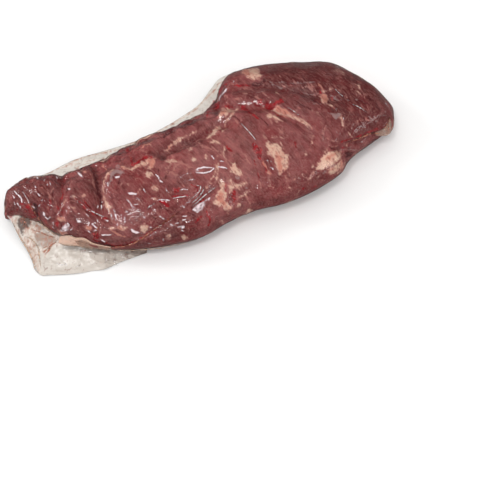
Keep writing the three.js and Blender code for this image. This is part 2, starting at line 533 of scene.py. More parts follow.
@dataclass(frozen=True)
class PackForm:
    """The loft of the meat in its film, as the solid has it, on a finer grid.

    Each station gives x, the front edge, the back edge and the crown. A cross-section is a rounded
    box with its underside cut flat by the ground. Lobes raise the top and grooves sink it.
    """

    stations: tuple[tuple[float, float, float, float], ...] = (
        (-239, 4, 4, 42), (-226, 0, 28, 43), (-206, -17, 37, 47), (-180, -51, 34, 50),
        (-150, -74, 30, 51), (-115, -88, 31, 53), (-75, -98, 41, 56), (-35, -101, 46, 57),
        (0, -93, 50, 57), (30, -89, 59, 57), (45, -90, 76, 58), (60, -92, 93, 59),
        (90, -91, 100, 60), (120, -85, 95, 60), (146, -75, 88, 59), (162, -62, 84, 57),
        (190, -50, 72, 54), (212, -41, 43, 50), (230, -32, 12, 44), (239, -13, -13, 40),
    )
    lobes: tuple[Lobe, ...] = (
        Lobe(138, 52, 62, 20, -16, 3), Lobe(88, -24, 52, 40, -10, 2), Lobe(-92, -42, 36, 34, 0, 4),
        Lobe(-4, 29, 46, 12, 6, 4), Lobe(-148, -18, 17, 30, -12, 3), Lobe(-192, 2, 18, 24, -20, 3),
        Lobe(205, -12, 22, 24, -20, 2),
    )
    grooves: tuple[Groove, ...] = (
        Groove("under the head strip", ((64, 60), (94, 50), (131, 27), (177, 0)), 9, 3),
        Groove("end of the head lobe", ((41, 74), (34, 42), (66, 28), (90, 20)), 8, 5),
        Groove("below the fat seam", ((90, 20), (104, -2), (122, -32)), 7, 3),
        Groove("along the back strap", ((-46, 0), (-18, 5), (9, 13), (40, 15)), 8, 4),
        Groove("beside the round lobe", ((-122, 16), (-127, -8), (-131, -26), (-136, -46)), 8, 6),
        Groove("left furrow", ((-161, 28), (-168, 0), (-178, -26), (-188, -42)), 7, 5),
        Groove("end notch", ((-214, 12), (-206, -8), (-203, -24)), 5, 4),
        Groove("diagonal fold", ((-160, -22), (-147, -42), (-131, -60)), 6, 3),
        Groove("front seam", ((-147, -75), (-115, -85), (-78, -83), (-40, -75), (0, -60)), 7, 4),
        Groove("right seam", ((148, -54), (178, -50), (200, -44), (224, -32)), 6, 3),
        Groove("corner under the head", ((150, -58), (164, -72)), 7, 7),
    )
    widest_share: float = 0.44
    underside_depth: float = 1.2
    side_power: float = 2 / 2.2
    top_power: float = 2 / 2.05
    left_rounding: float = 24
    right_rounding: float = 22
    even_share: float = 0.65
    end_lift: float = 8
    lift_span: Pair = (-218, -185)
    relief_rise: float = 1.6
    furrow_share: float = 0.4
    rings: int = 470
    sides: int = 204
    upper_share: float = 0.86

    def grid(self) -> Array:
        """The loft, on a grid that is finer on top.

        Returns:
            Rings of points along X, each from the back over the top and under the ground side.
        """
        table = np.array(self.stations, float)
        first, last = table[0, 0], table[-1, 0]
        even = np.linspace(0, 1, self.rings)
        crowded = (1 - np.cos(np.pi * even)) / 2
        x = first + (last - first) * (self.even_share * even + (1 - self.even_share) * crowded)
        front, back, crown = smooth_curve(x, table[:, 0], table[:, 1:]).T[:, :, None]
        x = x[:, None]
        closing = self.closed(x - first, self.left_rounding)
        closing = closing * self.closed(last - x, self.right_rounding)
        part = np.arange(self.sides)[None] / self.sides
        upper = np.pi * part / self.upper_share
        lower = np.pi + np.pi * (part - self.upper_share) / (1 - self.upper_share)
        turn = np.where(part < self.upper_share, upper, lower)
        across = np.sign(np.cos(turn)) * np.abs(np.cos(turn)) ** self.side_power
        lift = np.sign(np.sin(turn)) * np.abs(np.sin(turn)) ** self.top_power
        widest = self.widest_share * crown
        y = (front + back) / 2 + across * (back - front) / 2
        x = np.broadcast_to(x, y.shape)
        relief = closing * np.minimum(1, self.relief_rise * lift) * self.relief(x, y)
        top = widest + (crown - widest) * closing * lift + relief
        lifted = self.end_lift * (1 - smoothstep(x, *self.lift_span))
        under = np.maximum(lifted, widest + self.underside_depth * widest * closing * lift)
        return np.stack([x, y, np.where(lift < 0, under, top)], axis=-1)

    @staticmethod
    def closed(distance: Array, rounding: float) -> Array:
        """Quarter-round closing of an end: 0 at the tip, 1 from the rounding's length on."""
        t = np.clip(distance / rounding, 0, 1)
        return np.sqrt(1 - (1 - t) ** 2)

    def relief(self, x: Array, y: Array) -> Array:
        """The sum of the lobes, less the deepest groove at each place.

        Args:
            x: places along the pack.
            y: places across it.

        Returns:
            Millimetres at each place.
        """
        plan = np.stack([x, y], axis=-1)
        dips = np.maximum.reduce([groove.at(plan) for groove in self.grooves])
        return np.sum([lobe.at(x, y) for lobe in self.lobes], axis=0) - dips

    def furrows(self, places: Array) -> Array:
        """The bottoms of the grooves, 0 to 1, at a share of their width."""
        plan, share = places[..., :2], self.furrow_share
        return np.maximum.reduce([line.at(plan, share) / line.deep for line in self.grooves])


# What the photograph shows on the meat


class Trait(Enum):
    """What a mark on the meat is."""

    FAT = "fat"
    ROSE = "rose"
    SILVER = "silver"
    VEIN = "vein"
    BLOOD = "blood"
    # dark: painted shade in hollows, furrows and under edges, and dark streaks in the meat
    DARK_AND_PAINTED_SHADE = "dark"
    # deep: broad darker areas, partly the meat's deeper tone and partly painted shade
    DEEP_AND_PAINTED_SHADE = "deep"
    # pale: broad lighter areas, partly the meat's paler tone and partly painted light
    PALE_AND_PAINTED_LIGHT = "pale"


def strokes(text: str) -> list[Array]:
    """Strokes of pixels from a text: "across,down" for each, with a slash between strokes."""
    return [np.array([at.split(",") for at in part.split()], float) for part in text.split("/")]


@dataclass(frozen=True)
class Mark:
    """Marks of one kind: strokes of pixels with a half width in pixels, narrower at the ends."""

    place: str
    half_width: float
    paths: str
    filled: bool = False
    strength: float = 1
    end_width: float = 0.7
    swell: float = 0.3

    def cover(self, at: Array, soft: float) -> Array:
        """How much the mark covers each place. The depth in it is the half width less the distance
        to the stroke, or the distance to the outline, negative outside, and the spread. A smooth
        step over the soft edge makes the cover of it.

        Args:
            at: places in the picture.
            soft: half width of the soft edge in pixels.

        Returns:
            0 to 1 for each place.
        """
        total = np.zeros(at.shape[:-1])
        reach = max(self.half_width, 0) + soft
        for line in strokes(self.paths):
            low, high = line.min(axis=0) - reach, line.max(axis=0) + reach
            near = np.all((at > low) & (at < high), axis=-1)
            inner = at[near]
            closed = self.filled or len(line) == 1
            away, share = path_distance(inner, np.concatenate([line, line[:1]]) if closed else line)
            if self.filled:
                depth = np.where(enclosed(inner, line), away, -away) + self.half_width
            else:
                width = self.end_width + self.swell * np.sin(np.pi * share)
                depth = self.half_width * width - away
            total[near] = np.maximum(total[near], self.strength * smoothstep(depth, -soft, soft))
        return total


@dataclass(frozen=True)
class Patch(Mark):
    """Marks whose strokes are outlines, filled and spread by the half width."""

    filled: bool = True


def covered(at: Array, marks: Sequence[Mark], soft: float) -> Array:
    """The highest cover of some marks at each place."""
    return np.maximum.reduce([mark.cover(at, soft) for mark in marks])


MARKS: dict[Trait, tuple[Mark, ...]] = {
    Trait.FAT: (
        Patch("patch on the head's top edge", 0.3,
            "242,69.5 246,68 257,68 261,75 260,79 255,79 249,78 243.5,74"),
        Patch("strip on the main seam", 0, """
        272,108.5 276.5,105.5 281,107 286,110 292,114 302,119 307,122 310,126 310.5,129 305.5,126
        300,122 294,118.5 284,114.5 278,113 273,111 / 272,115 276,115 279.5,118.5 282,121 277,121.5
        274,119 / 267,114 271,111.5 272,115 269,118.5"""),
        Patch("end of the strap", 0, """
        219,110 223,108 230.5,108 234,110 228,113 225,116 223,115.5 220.5,119.5 219,118.5 /
        206,137.5 205.5,136 211.5,131.5 217.5,126.5 222,125.5 220,129 214.5,134 209,137.5 /
        210.5,142 213,139.5 217.5,141 220,144 215.5,143.5"""),
        Mark("seam across the strap", 0.8,
            "237,108.5 233,111.5 230.5,115.5 226,121 224.5,125.5 / 226,127.5 221.5,133"),
        Patch("strips on the back strap", 0, """
        165.5,150.5 168.5,146 174.5,141 177,138.5 181,137.5 186,134 191,133 196.5,130 197,131.5
        192.5,134.5 187.5,135.5 182.5,139 181,142 177,143.5 171.5,147 167.5,150.5 / 204,157.5
        206,153.5 208.5,155 206.5,158.5 / 191.5,159 193,157.5 195,159 193.5,161 / 165.5,159.5
        174,159 176.5,161.5 171.5,162 166.5,161"""),
        Patch("big patch in the middle", 0.2, """
        266.5,142.5 268.5,140.5 271.5,144 277,143.5 280.5,147 284,153 284.5,159.5 284,169 280.5,175
        277,169.5 276.5,163.5 273,157.5 268,153 268.5,148 / 284,154.5 288,154.5 289.5,159.5
        287.5,168 284.5,169.5"""),
        Mark("streaks about the big patch", 0.6, """
        263,134 267,139 / 271.5,137.5 276.5,137 280.5,137.5 285.5,139 / 280.5,139 281,147.5 /
        285,175.5 286,180.5 290.5,183.5 / 288,186 291,189.5 / 267.5,169 269.5,175 269.5,186 273,187
        / 284.5,169.5 289.5,173.5 295.5,179""", strength=0.75),
        Patch("cluster in the middle", 0.2, """
        220,180.5 223,180 224.5,183.5 224.5,190.5 222,195.5 216.5,199 214.5,197.5 218,193 220,188 /
        228,179 231.5,178.5 234,183.5 233.5,189 230,192.5 228,188 228.5,183.5 / 215.5,199.5
        221,197.5 224.5,193 226.5,193 225,200 228,206 232,206 231.5,209.5 226.5,211.5 223,206
        218,205 214.5,203 / 232,163 235,162.5 237,166.5 241,171.5 242,175 239,175 233.5,172
        230.5,172 / 214,163.5 219,163.5 219,168 215.5,169.5 / 248,209.5 252,210 249.5,214 243.5,217
        """),
        Mark("branches over the cluster", 0.7, """
        225,147.5 223.5,152.5 220,154.5 217.5,154.5 / 223.5,154 227,160 232,163.5 / 215.5,169
        214,175 209,183.5 206,187.5 / 218,169 216,182 / 239,197.5 243.5,195.5 249.5,191 / 237,207
        240,204 / 222,222 224,224"""),
        Patch("big patch on the right", 0.2, """
        316.5,167 319,162.5 322,159 324,154.5 328.5,153 333,150.5 339,151 343.5,154 342.5,156.5
        340.5,159 337,161.5 335,164 330.5,167 326.5,168.5 322,170 318,170"""),
        Patch("thin fat beside it", 0.2, """
        329,169 333,167 336,164.5 339,161.5 342.5,159 343.5,162 343,166.5 339.5,169.5 336,172
        333,174.5 330,174.5 328,173 / 235,185.5 239,182.5 245.5,182 249,182.5 243.5,185.5 239,189
        235.5,188""", strength=0.85),
        Mark("strokes by the right patch", 0.6, """
        325.5,152.5 328,148.5 / 347,146.5 348.5,143.5 / 305.5,151.5 305.5,155.5 / 303,161 305,159
        307,161 / 309.5,179.5 312,175 315,172.5 / 317.5,177.5 319.5,175 / 311.5,170 314,166 /
        343,156.5 345,159 345.5,163.5 343,168 339.5,171.5 337,174.5 / 298.5,174.5 / 302,174.5
        """, strength=0.75),
        Mark("rim of the round lobe", 0.9,
            "113,169.5 108,174 105,179.5 103,187.5 103.5,196 105.5,203 109,206.5 109.5,214.5"),
        Patch("cord over the round lobe", 0.2, """
        121,166.5 125,165.5 130.5,169 135,164.5 139,162.5 145.5,160.5 148,157.5 151,159 149.5,162.5
        145.5,164.5 142,164.5 138.5,168 133.5,170 129.5,169.5 123.5,168 / 152.5,159 156,159
        155.5,163 153,167.5 150.5,170 149,167.5 / 145.5,173.5 148,171.5 152,172.5 152.5,176 149,178
        146,176.5 / 150.5,186.5 154.5,185 158,187.5 157.5,190 154,189 / 152,197.5 154,197
        157.5,199.5 154.5,199.5 / 103,204 108,203 112,207 108,210"""),
        Patch("pads along the front", 0.2, """
        109,227.5 112.5,226.5 114.5,229 111,230.5 / 116,225.5 119.5,226.5 126.5,227 127,230
        122.5,230.5 116.5,227.5 / 141,225.5 144,225 147.5,227 147.5,230 144.5,232.5 143.5,234
        141,229 / 166.5,237 169.5,234.5 170.5,237 168,240.5 / 182,238 184.5,236 187,237.5 183.5,241
        / 85.5,227 90.5,226 92.5,228 90,230.5 86.5,229 / 57.5,217 63,217.5 66,220.5 60.5,222 57,219
        / 58,232 63,231 66,233 62,235.5 58,234"""),
        Patch("knot on the head", 0.2, """
        320.5,96 323.5,93.5 327,94 328,98.5 327.5,101.5 324,102 321,100.5 / 321.5,87 324,89.5
        327,91.5 325,92.5 322.5,90"""),
        Mark("strokes on the head", 0.7, """
        355.5,90 359.5,94 / 358.5,85 360,88 / 334.5,70 338.5,70 344,73.5 / 341,115.5 343.5,127.5 /
        357.5,122.5 359.5,126 / 327,91 333,88 / 326,103 331.5,106 / 348.5,133 355,140 / 312.5,110
        319,113.5 / 276,91.5 279.5,94 / 244,94 246,93 / 240,98 242,99 / 306,128 312,136 312,143
        """, strength=0.75),
        Mark("flecks on the left", 0.7, """
        73,196 76,197.5 / 81.5,196.5 85,194 / 87,190.5 / 88.5,179 91,180.5 / 65.5,199.5 61,206 /
        71,207.5 75,207 / 128,183 / 124,203 / 128,185.5 / 135.5,178.5 / 140,178.5 / 143.5,182 /
        140.5,189 / 189,151 191,149 / 187.5,149.5 / 180.5,153.5 / 141,149 / 151.5,144.5
        """, strength=0.75),
    ),
    Trait.ROSE: (
        Patch("flushed fat", 0.2, """
        276.5,105.5 281,107 286,110 292,114 284,113 276,110 / 242,69.5 248,69 250,76 244,74 /
        276,152 281,158 282,168 279,172 277,160 / 216,199 221,193 223,197 226,206 / 220,112 224,109
        226,112 222,117 / 320.5,96 323.5,93.5 327,94 328,98.5 327.5,101.5 324,102 / 326,158 332,155
        336,152 330,160 / 149,158 156,159 155.5,163 153,167.5 150.5,170 / 85.5,227 90.5,226 92.5,228
        90,230.5 / 57.5,217 63,217.5 66,220.5 / 58,232 63,231 66,233 62,235.5 / 116,225.5 120,226
        122,230 117,228 / 165.5,150.5 168.5,146 172,144 170,149"""),
        Mark("flushed threads", 0.8, """
        141.5,147 148,144.5 152.5,141.5 / 262.5,160 264.5,164 267,168 270.5,174 / 110.5,230
        114.5,232.5 119.5,235.5 125,237 / 121,166 124,167.5 128,169 / 342.5,160 343,164.5 340,169.5
        / 331.5,169 333.5,169 / 284.5,169.5 289.5,173.5 295.5,179 / 81.5,170 86,173 / 102,165
        105,167 / 318,83 323,89"""),
    ),
    Trait.VEIN: (
        Mark("net on the strap's face", 1.0, """
        165,160.5 174,160.5 180.5,162.5 188,166 192.5,167.5 / 174,161 175.5,165.5 173,171.5 /
        180.5,163 176.5,166 / 188,166.5 187,171.5 / 170.5,163 168,168 164.5,167.5 / 167,173.5
        171.5,172.5 175.5,174.5 178.5,175"""),
        Mark("threads on the left", 0.5, """
        116.5,187.5 123.5,182 / 132,195.5 141,189 / 139,199.5 143.5,207.5 / 57.5,192 55.5,197.5 /
        92,172 94,180 / 60,194 68,197 / 92,178 96,186 / 70,201 76,200 / 47,190 52,200 / 52,196
        56,204 / 54,188 50,194 / 109,214 112,222 116,226 / 97,223 101,230 99,236 / 86,176 91,174 /
        142,150 147,152"""),
        Mark("threads in the middle", 0.5, """
        196,140 203,146 212,149 / 191,148.5 196.5,143.5 / 197,139.5 202,137 / 240,150 246,156
        250,164 / 278,128 284,134 290,136 / 212,146 217,151 222,152 / 213,150 219,150 / 228,150
        233,155 / 226,156 230,166 / 300,190 296,200 / 258,176 262,190 / 246,196 250,205 / 270,118
        274,128 / 262,108 268,112 / 234,118 240,126"""),
        Mark("threads on the head", 0.5, """
        306,86 312,90 318,92 / 308,85 313,92 / 303,88 309,86 / 311,84 314,90 / 234,98 242,100
        246,104 / 256,96 262,102 / 243,86 251,89 258,96 / 225,96 231,99 / 323,128 323,134 326,126
        330,122 / 360,118 366,120 372,121 / 326,138 334,141 341,142 / 327,144 335,147 340,146 /
        288,110 296,118 306,126 / 262,92 268,98"""),
    ),
    Trait.SILVER: (
        Patch("skin on the round lobe", 0, """
        111,171.5 116,169 121.5,170 125,173.5 121,175 116.5,173 113,176.5 110.5,181.5 108,186.5
        107.5,185 109.5,178 / 114.5,164.5 119,164 120,168 117.5,169"""),
        Patch("skin on the head", 0, """
        329,95 333,95 341,98.5 341.5,99.5 338.5,99.5 332.5,97.5 / 328,112.5 334.5,113.5 341,113
        341,115 336.5,119.5 333,116"""),
        Patch("skin by the right patch", 0,
            "322,170.5 326.5,169.5 330,169.5 328,172.5 323.5,175 322,173.5", strength=0.6),
        Patch("skin beside the cluster", 0.2,
            "232,173.5 240.5,176.5 241,180.5 235.5,179", strength=0.6),
        Mark("threads of skin", 0.5, """
        253,90 257.5,91.5 263,91 / 269,82 276.5,82.5 284,82 295.5,83.5 307,82.5 320,82 / 269,84
        276.5,85 282.5,88 / 304,91.5 308.5,94 315,94 318,92.5 / 312,104 315.5,103 320.5,103.5 /
        335.5,128.5 337.5,133 341,134 341.5,130.5 / 351,122.5 352.5,126 355.5,123 / 352.5,126
        351,133.5 / 386,111 385.5,115.5 381,116 376.5,122 / 370,114.5 371.5,122.5 / 343.5,104
        344,106.5 / 336,108.5 337,110.5 / 355.5,99 357.5,99.5 / 340.5,150.5 350,149.5 357.5,150 /
        340,150.5 353,146 / 309.5,66 316.5,64.5 / 336,66 348.5,70.5 / 300,118 304,122 310,126 /
        322,128 324,134 323,140"""),
    ),
    Trait.BLOOD: (
        Patch("behind the main seam", 0.2, """
        252,101.5 261,100 263.5,104 255,105.5 / 265,105.5 267.5,101 271,104.5 273.5,102.5 280.5,98.5
        284,101 278,104 273.5,108.5 271,110 / 273.5,111.5 280.5,114.5 290.5,114.5 284,115.5
        278,115.5"""),
        Patch("end of the head lobe", 0.2, """
        225,105.5 229,104.5 233.5,107 227,108 / 239,104.5 246,107 249,110 243,108.5 / 212.5,104
        215.5,98 217.5,101 219,104 217,107 213,108.5 206,116"""),
        Mark("edge of the head lobe", 0.7,
            "216,100 217,94 221,87 228,81 / 234.5,85 242,85 249.5,85.5 / 246,109 252,113 258,118"),
        Patch("beside the big patch", 0, """
        257.5,147 261.5,147.5 261.5,156.5 259.5,159.5 257.5,158 256.5,153 / 252.5,142.5 255.5,142
        257.5,147 256,150.5 253,149"""),
        Patch("behind the round lobe", 0, """
        130,156 133.5,163 137.5,160.5 144.5,155.5 152,157 153,159 146,158 139,162 134,166 131,164 /
        157.5,199.5 161,199 167,202 170.5,205.5 168,206.5 162.5,204 / 93.5,233 98,233 99.5,237.5
        97.5,239.5 94,239"""),
        Patch("left end", 0, """
        21,209.5 26.5,204.5 31,205 36.5,219 31.5,218.5 26.5,213.5 / 48,199 52,199 51,209 49,210 /
        124,149 128,146 130,152 126,153""", strength=0.6),
        Mark("furrows of the left end", 0.8, """
        63.5,176.5 63,184 62.5,192 61,199 58,208 / 58,214 56.5,222 56.5,229 / 75,197.5 84,206 92,212
        100,217.5 108,219 / 20,203 30,208 / 44,222 50,228 54,231 / 36,212 44,222 / 62,207 60,214 /
        10,213 18,210""", strength=0.68),
        Patch("hollow beside the cluster", 1,
            "228,192.5 233.5,190.5 236.5,193 235,201 230,203 227.5,197.5", strength=0.35),
        Patch("below the strap", 0, "173,187.5 178.5,187 181,189 177,192 174,195.5", strength=0.5),
        Mark("threads of blood", 0.6, """
        172.5,196 188,195.5 / 226.5,145.5 231.5,150.5 / 295,141.5 296.5,147 / 233,188 236,193 /
        225,183 226,192 / 262.5,160 266,168 269,174 / 254,160 256,166 / 192,184 197,188 199,192 /
        200,202 204,197 / 207,212 210,220 209,226 / 303,189 306,188.5 / 311.5,188.5 317,187.5 /
        258,173 260,180 / 196,222 202,216 / 84,200 88,206"""),
        Patch("right corner", 0, """
        342,148.5 343,147 346,146.5 344.5,148 342.5,149.5 / 341.5,154 343.5,154 342.5,156.5 / 331,96
        333,97 332,98.5 / 319.5,91 322,92 324,94.5 321,94"""),
        Mark("front seam", 0.8,
            "93,240.5 104,244.5 115,247 125,246.5 134,243 143,237.5 152,231.5 160,226 170,219"),
        Mark("right seam", 0.5, "342,142 352,138.5 362,135.5 370,132 378,129 / 345,141 355,137.5"),
    ),
    # Painted shade in the hollows, the end notch, the furrow, under the front edge and the right
    # corner and along the strap's rim, with dark streaks on the head and the left.
    Trait.DARK_AND_PAINTED_SHADE: (
        Patch("hollow under the top patch", 0,
            "249.5,84 255,82 259.5,83.5 263.5,80 263.5,77 266.5,80 261,85.5 253.5,85.5"),
        Patch("hollow beside the cluster", 0.5,
            "228,192.5 233.5,190.5 236.5,193 235,201 230,203 227.5,197.5", strength=0.65),
        Patch("end notch", 0,
            "31.5,203.5 34.5,202.5 37,206.5 38,219 42,223.5 39.5,224 34.5,215 32.5,209.5"),
        Patch("fold under the right corner", 0, "345,152 355,151.5 353.5,154 352,157 347.5,158"),
        Patch("under the front edge", 0, "92,241 100,246 110,249 122,249 112,246 103,243"),
        Mark("furrow beside the round lobe", 1.2,
            "91.5,168 94,173.5 97,182 99,192.5 100.5,201 100,206"),
        Mark("rim of the back strap", 0.7,
            "163,136.5 165.5,132.5 176,126.5 181,125.5 189,121.5 194,121.5"),
        Mark("streaks on the head", 0.6, """
        290,95.5 302,104.5 315,111 / 359.5,99.5 367,103.5 / 330,107 333,110.5 / 292,90 298,92 304,97
        / 366,98 374,100 / 376,105 382,110 / 312,98 320,104 / 255,112 262,119 268,124 / 232,114
        240,121 / 330,146 338,150"""),
        Mark("streaks on the left", 0.6, """
        54,190 52,200 / 70,180 66,190 / 84,202 90,208 / 120,178 116,188 / 110,190 112,198 / 168,172
        165,178 / 150,162 156,170 158,178 / 158,168 160,174 / 66,222 72,228 / 104,222 102,230 /
        150,216 158,220 / 160,206 170,212 / 200,192 206,198 / 188,212 196,216"""),
    ),
    # Broad darker areas: partly the meat's deeper tone, and partly painted shade where the surface
    # turns from the light, in the valleys between the muscles and on the front face.
    Trait.DEEP_AND_PAINTED_SHADE: (
        Patch("head", 0, """
        262,70 300,64 340,68 365,82 388,98 388,118 372,130 350,136 335,122 322,110 300,100 280,95
        262,88"""),
        Patch("left end", -6, "5,195 28,182 62,178 62,204 52,222 28,208 8,208"),
        Mark("valleys", 2, """
        166,153 180,145 194,138 206,132 218,126 / 86,172 92,184 95,198 / 236,92 250,96 262,97 /
        96,222 90,234 70,230"""),
        Patch("front face", -2,
            "104,246 124,246 144,236 160,226 184,216 200,222 198,238 176,246 120,251"),
        Patch("left lobe", -3,
            "66,178 88,172 100,184 104,206 106,226 84,236 66,222", strength=0.55),
    ),
    # Broad lighter areas on the faces that meet the light: partly the meat's paler tone and partly
    # painted light.
    Trait.PALE_AND_PAINTED_LIGHT: (
        Patch("face of the strap", -2,
            "160,152 178,144 200,140 214,150 216,178 196,190 172,184 158,172"),
        Patch("middle", -2, "206,142 232,118 256,116 262,150 252,206 226,214 200,196 212,176"),
        Patch("back strap", -3,
            "140,146 160,136 190,122 210,116 214,124 190,140 168,152 150,158", strength=0.7),
        Patch("head strip", -4, "262,66 300,62 342,66 336,82 290,80 262,78", strength=0.5),
    ),
}

# Painted highlights of the film: they fill its glint attribute, which makes it pale, and raise it a
# little.
GLARE: tuple[Mark, ...] = (
    Patch("wide glare", 0, """
    59,230.5 63,225.5 68,222 70,224.5 69.5,229.5 65.5,232 62.5,232 / 75,217 78,218.5 80.5,220.5
    84,223.5 80,222.5 77,223.5 76.5,220.5 / 191.5,210 197.5,213.5 202.5,209.5 208,201.5 214.5,195.5
    209.5,197.5 203.5,201 196.5,204.5 / 218,102.5 219,96.5 226,88.5 228.5,88.5 227.5,91.5 220.5,98 /
    178.5,177 182,175 188,172.5 192,173.5 185.5,175 180.5,178 / 184,181.5 188,179.5 194,178.5
    198,180 191,180.5 / 176.5,227 180.5,225.5 184.5,225 185.5,227.5 182,229 179,228.5 / 195,170.5
    198,168.5 200,170 198,172.5""", strength=0.62),
    Patch("small glare", 0.1, """
    67.5,188.5 69.5,188 70,189.5 68,189.5 / 43,211.5 45,213.5 45,216.5 43,215 / 77,172 80.5,174
    83.5,177.5 80.5,176.5 78.5,175 / 114,177 120,176.5 120,178 116.5,178.5 / 127,192.5 132,192
    136.5,193 135.5,194.5 129.5,194.5 / 130.5,228.5 135,230.5 142,233.5 135.5,233.5 132,232 /
    267,160.5 268.5,160 268.5,162.5 / 270.5,167.5 273.5,168 273.5,170"""),
    Mark("bold lines of light", 0.75, """
    14.5,191 17,194 19,195.5 21,198 22,202.5 / 102,235 111.5,234.7 / 159,199.5 169.5,200.3 / 114,210
    115.5,214.5 116,220 / 194.5,171 198.5,168.3 204,167 213.5,167.6 / 196,172.5 204,172.7 210.5,171
    214,168.6 / 218.5,166.8 221,166.8 226.5,168 / 220,161 223,161 / 156,174.5 158,176.5 160,180.5
    162.5,182 / 38.5,194 39.5,196"""),
    Mark("sparks on the left end", 0.5, """
    13.5,196 14,198 / 20.5,206 20.5,208.5 / 23,192 26.5,198 29.5,204.5 / 31.5,206 34.5,208.5 /
    41.5,201 43,199.5 / 30,194 / 50,182.5 50.5,185.5 / 47.5,184 47.5,185.5 / 45,180 44,181.5 /
    49,178 50,179 / 56,177.5 57,179 / 36.5,177 38,179 / 66.5,210.5 67,213.5 / 87,208.5 87.5,210.5 /
    45,216.5 47.5,219.5 50.5,217 / 39,206 41,204 / 17,203 19,206 / 14,202 15,205 / 35,186 36,188 /
    52,227 54,230 / 53,222 53,226"""),
    Mark("sparks on the front", 0.5, """
    92,224 98,229.5 / 93.5,232 95,230 97,230.5 / 87.5,230.5 90.5,233 / 100.5,239.5 105,242.5 /
    98,205 98,208 / 101,205 101.5,208.5 / 111,213.5 113,220 / 121,214.5 121.5,216 / 124.5,216
    125,223.5 / 126,211 128,212.5 / 105.5,220 109.5,221.5 / 149.5,227 151.5,227.5 / 148.5,243
    150.5,243.5 / 162.5,238 163.5,241 / 86.5,214 88.5,216 / 97,219 98,222 / 108,208 109,212 /
    117,224 117.5,226 / 71,230 73,227"""),
    Mark("sparks on the round lobe", 0.5, """
    137,197.5 139,199.5 / 127,199.5 130.5,203 132,206.5 135.5,208 / 133.5,204.5 138.5,204 /
    142.5,187.5 146,192.5 / 165,187.5 168.5,192.5 / 174,187.5 173,190.5 / 180,190 184,189 187.5,190
    / 146,211 149.5,206.5 156,202.5 / 159,216 161,217 164.5,219.5 / 170,224 173,225.5 / 175.5,223.5
    178.5,223 / 182,220 186,219.5 / 182.5,216.5 187,216 / 179,208 182,205.5 184,207.5 186,203
    190.5,202 / 210.5,154.5 214.5,159 / 173,198 180.5,197 187.5,196 / 108,182 107.5,186 / 140,208
    141,211 / 143,216 145,218 / 188,222 191,220 / 181,230 184,231.5"""),
    Mark("sparks on the right", 0.35, """
    263,105.5 / 386,103 387,104.5 / 388,106 388.5,107 / 233,83.5 234,80 / 347,99 349,101 / 271,161 /
    275,167.5 / 254,143 255,145 / 336.5,109 / 343,118 344,120 / 246,188 248,189 / 297,182 298,184
    """),
)


# Creases of the film


class CreaseKind(Enum):
    """How a crease of the film looks."""

    # glint: a real ridge whose white core is a painted highlight
    GLINT = "glint"
    SEAM = "seam"
    BAND = "band"


@dataclass(frozen=True)
class Crease:
    """Raised creases of one kind in the film, as strokes of pixels, with half width and height in
    millimetres."""

    place: str
    kind: CreaseKind
    half_width: float
    height: float
    paths: str


GLINT, SEAM, BAND = CreaseKind.GLINT, CreaseKind.SEAM, CreaseKind.BAND

# The glint creases here are real ridges that carry painted highlights.
PACK_CREASES: tuple[Crease, ...] = (
    Crease("loops of the film", GLINT, 0.6, 0.8, """
    190,200 194,196.5 198.5,192 200.5,188 200,186 196.5,186 195,189 / 190,204.5 195.5,200
    200.5,194.5 203.5,189.5 203.5,186"""),
    Crease("long diagonals", GLINT, 0.55, 0.8, """
    190,208 197,202.5 204,196 211,190.5 219,184.5 / 87,208 97,214 105.5,217.5 / 146,211 149.5,206.5
    156,202.5 / 173,198 180.5,197 187.5,196"""),
    Crease("lines on the head lobe", GLINT, 0.5, 0.6, """
    239,121.5 246,128.5 253,136.5 257.5,142.5 / 286.5,106.5 294,111.5 302,117.5 / 334,88 339.5,93.5
    344.5,97.5 / 351,103.5 359.5,107.5 367.5,113"""),
    Crease("fold across the front", SEAM, 0.8, 1.2,
        "100,245 107,247 125,246 140,240 155,229 172,217 190,203"),
    Crease("threads of the left end", SEAM, 0.6, 0.8,
        "22,190 30,205 40,220 46,228 / 101,222 97,230 95,236"),
    Crease("seam under the head", SEAM, 0.7, 0.9,
        "344.5,142.5 355,140 369,134 380.5,133.5 388,134 / 355,139 364,136.5 368,134 376.5,131.5"),
    Crease("thin edge along the front", BAND, 1.0, 1.2,
        "108,248.5 118,250 135,250 152,249 170,247 185,244 200,240"),
)

TAIL_CREASES: tuple[Crease, ...] = (
    Crease("fold along the meat's corner", BAND, 1.1, 1.3,
        "14,208.5 21,212 28,215.5 33,219 39.5,222.5 46.5,228 53.5,234 57.5,235.5"),
    Crease("folds of the crossing", SEAM, 0.9, 1.0, """
    31,229.5 39.5,232 49,236 56,238 / 57.5,236 56,241.5 50.5,246 45.5,250.5 42,252 / 52,246 45,255.5
    / 42,248.5 49,246 / 20,218 25,222 23,228 / 27,216 24,221 28,226"""),
    Crease("edges of the left band", BAND, 1.0, 1.3, """
    11,219 16,229.5 22.5,241.5 29,252 33.5,262.5 35,269 39.5,274 / 24,236 31,239 38,247 39.5,257.5
    41.5,271"""),
    Crease("highlights on the spread end", GLINT, 0.6, 0.5, """
    54,262 62,265 70,262 / 62,258 68,268 / 88,251 93,252 / 108,256 104,266 / 120,252 125,261 /
    38,224 42,227 / 47,231 50,234 / 74,268 82,264 / 112,258 118,266"""),
)

FLAP_CREASES: tuple[Crease, ...] = (
    Crease("rims of the front flap", BAND, 0.9, 0.9, """
    60,236 70,235.5 76,238 84,239 93,243.5 103,246 111,247.5 / 58,242 64,244.5 72,245 80,246 91,248
    103,249 112,249.5"""),
    Crease("lines in the front flap", SEAM, 0.5, 0.6,
        "67,238 76,240.5 86,243 96,246.5 / 70,243 80,243.5 92,246.5"),
)

TAB_CREASES: tuple[Crease, ...] = (
    Crease("lines in the end tab", SEAM, 0.5, 0.6,
        "382.5,131 388,122.5 390,116 / 388.5,122.5 388.5,131.5"),
)


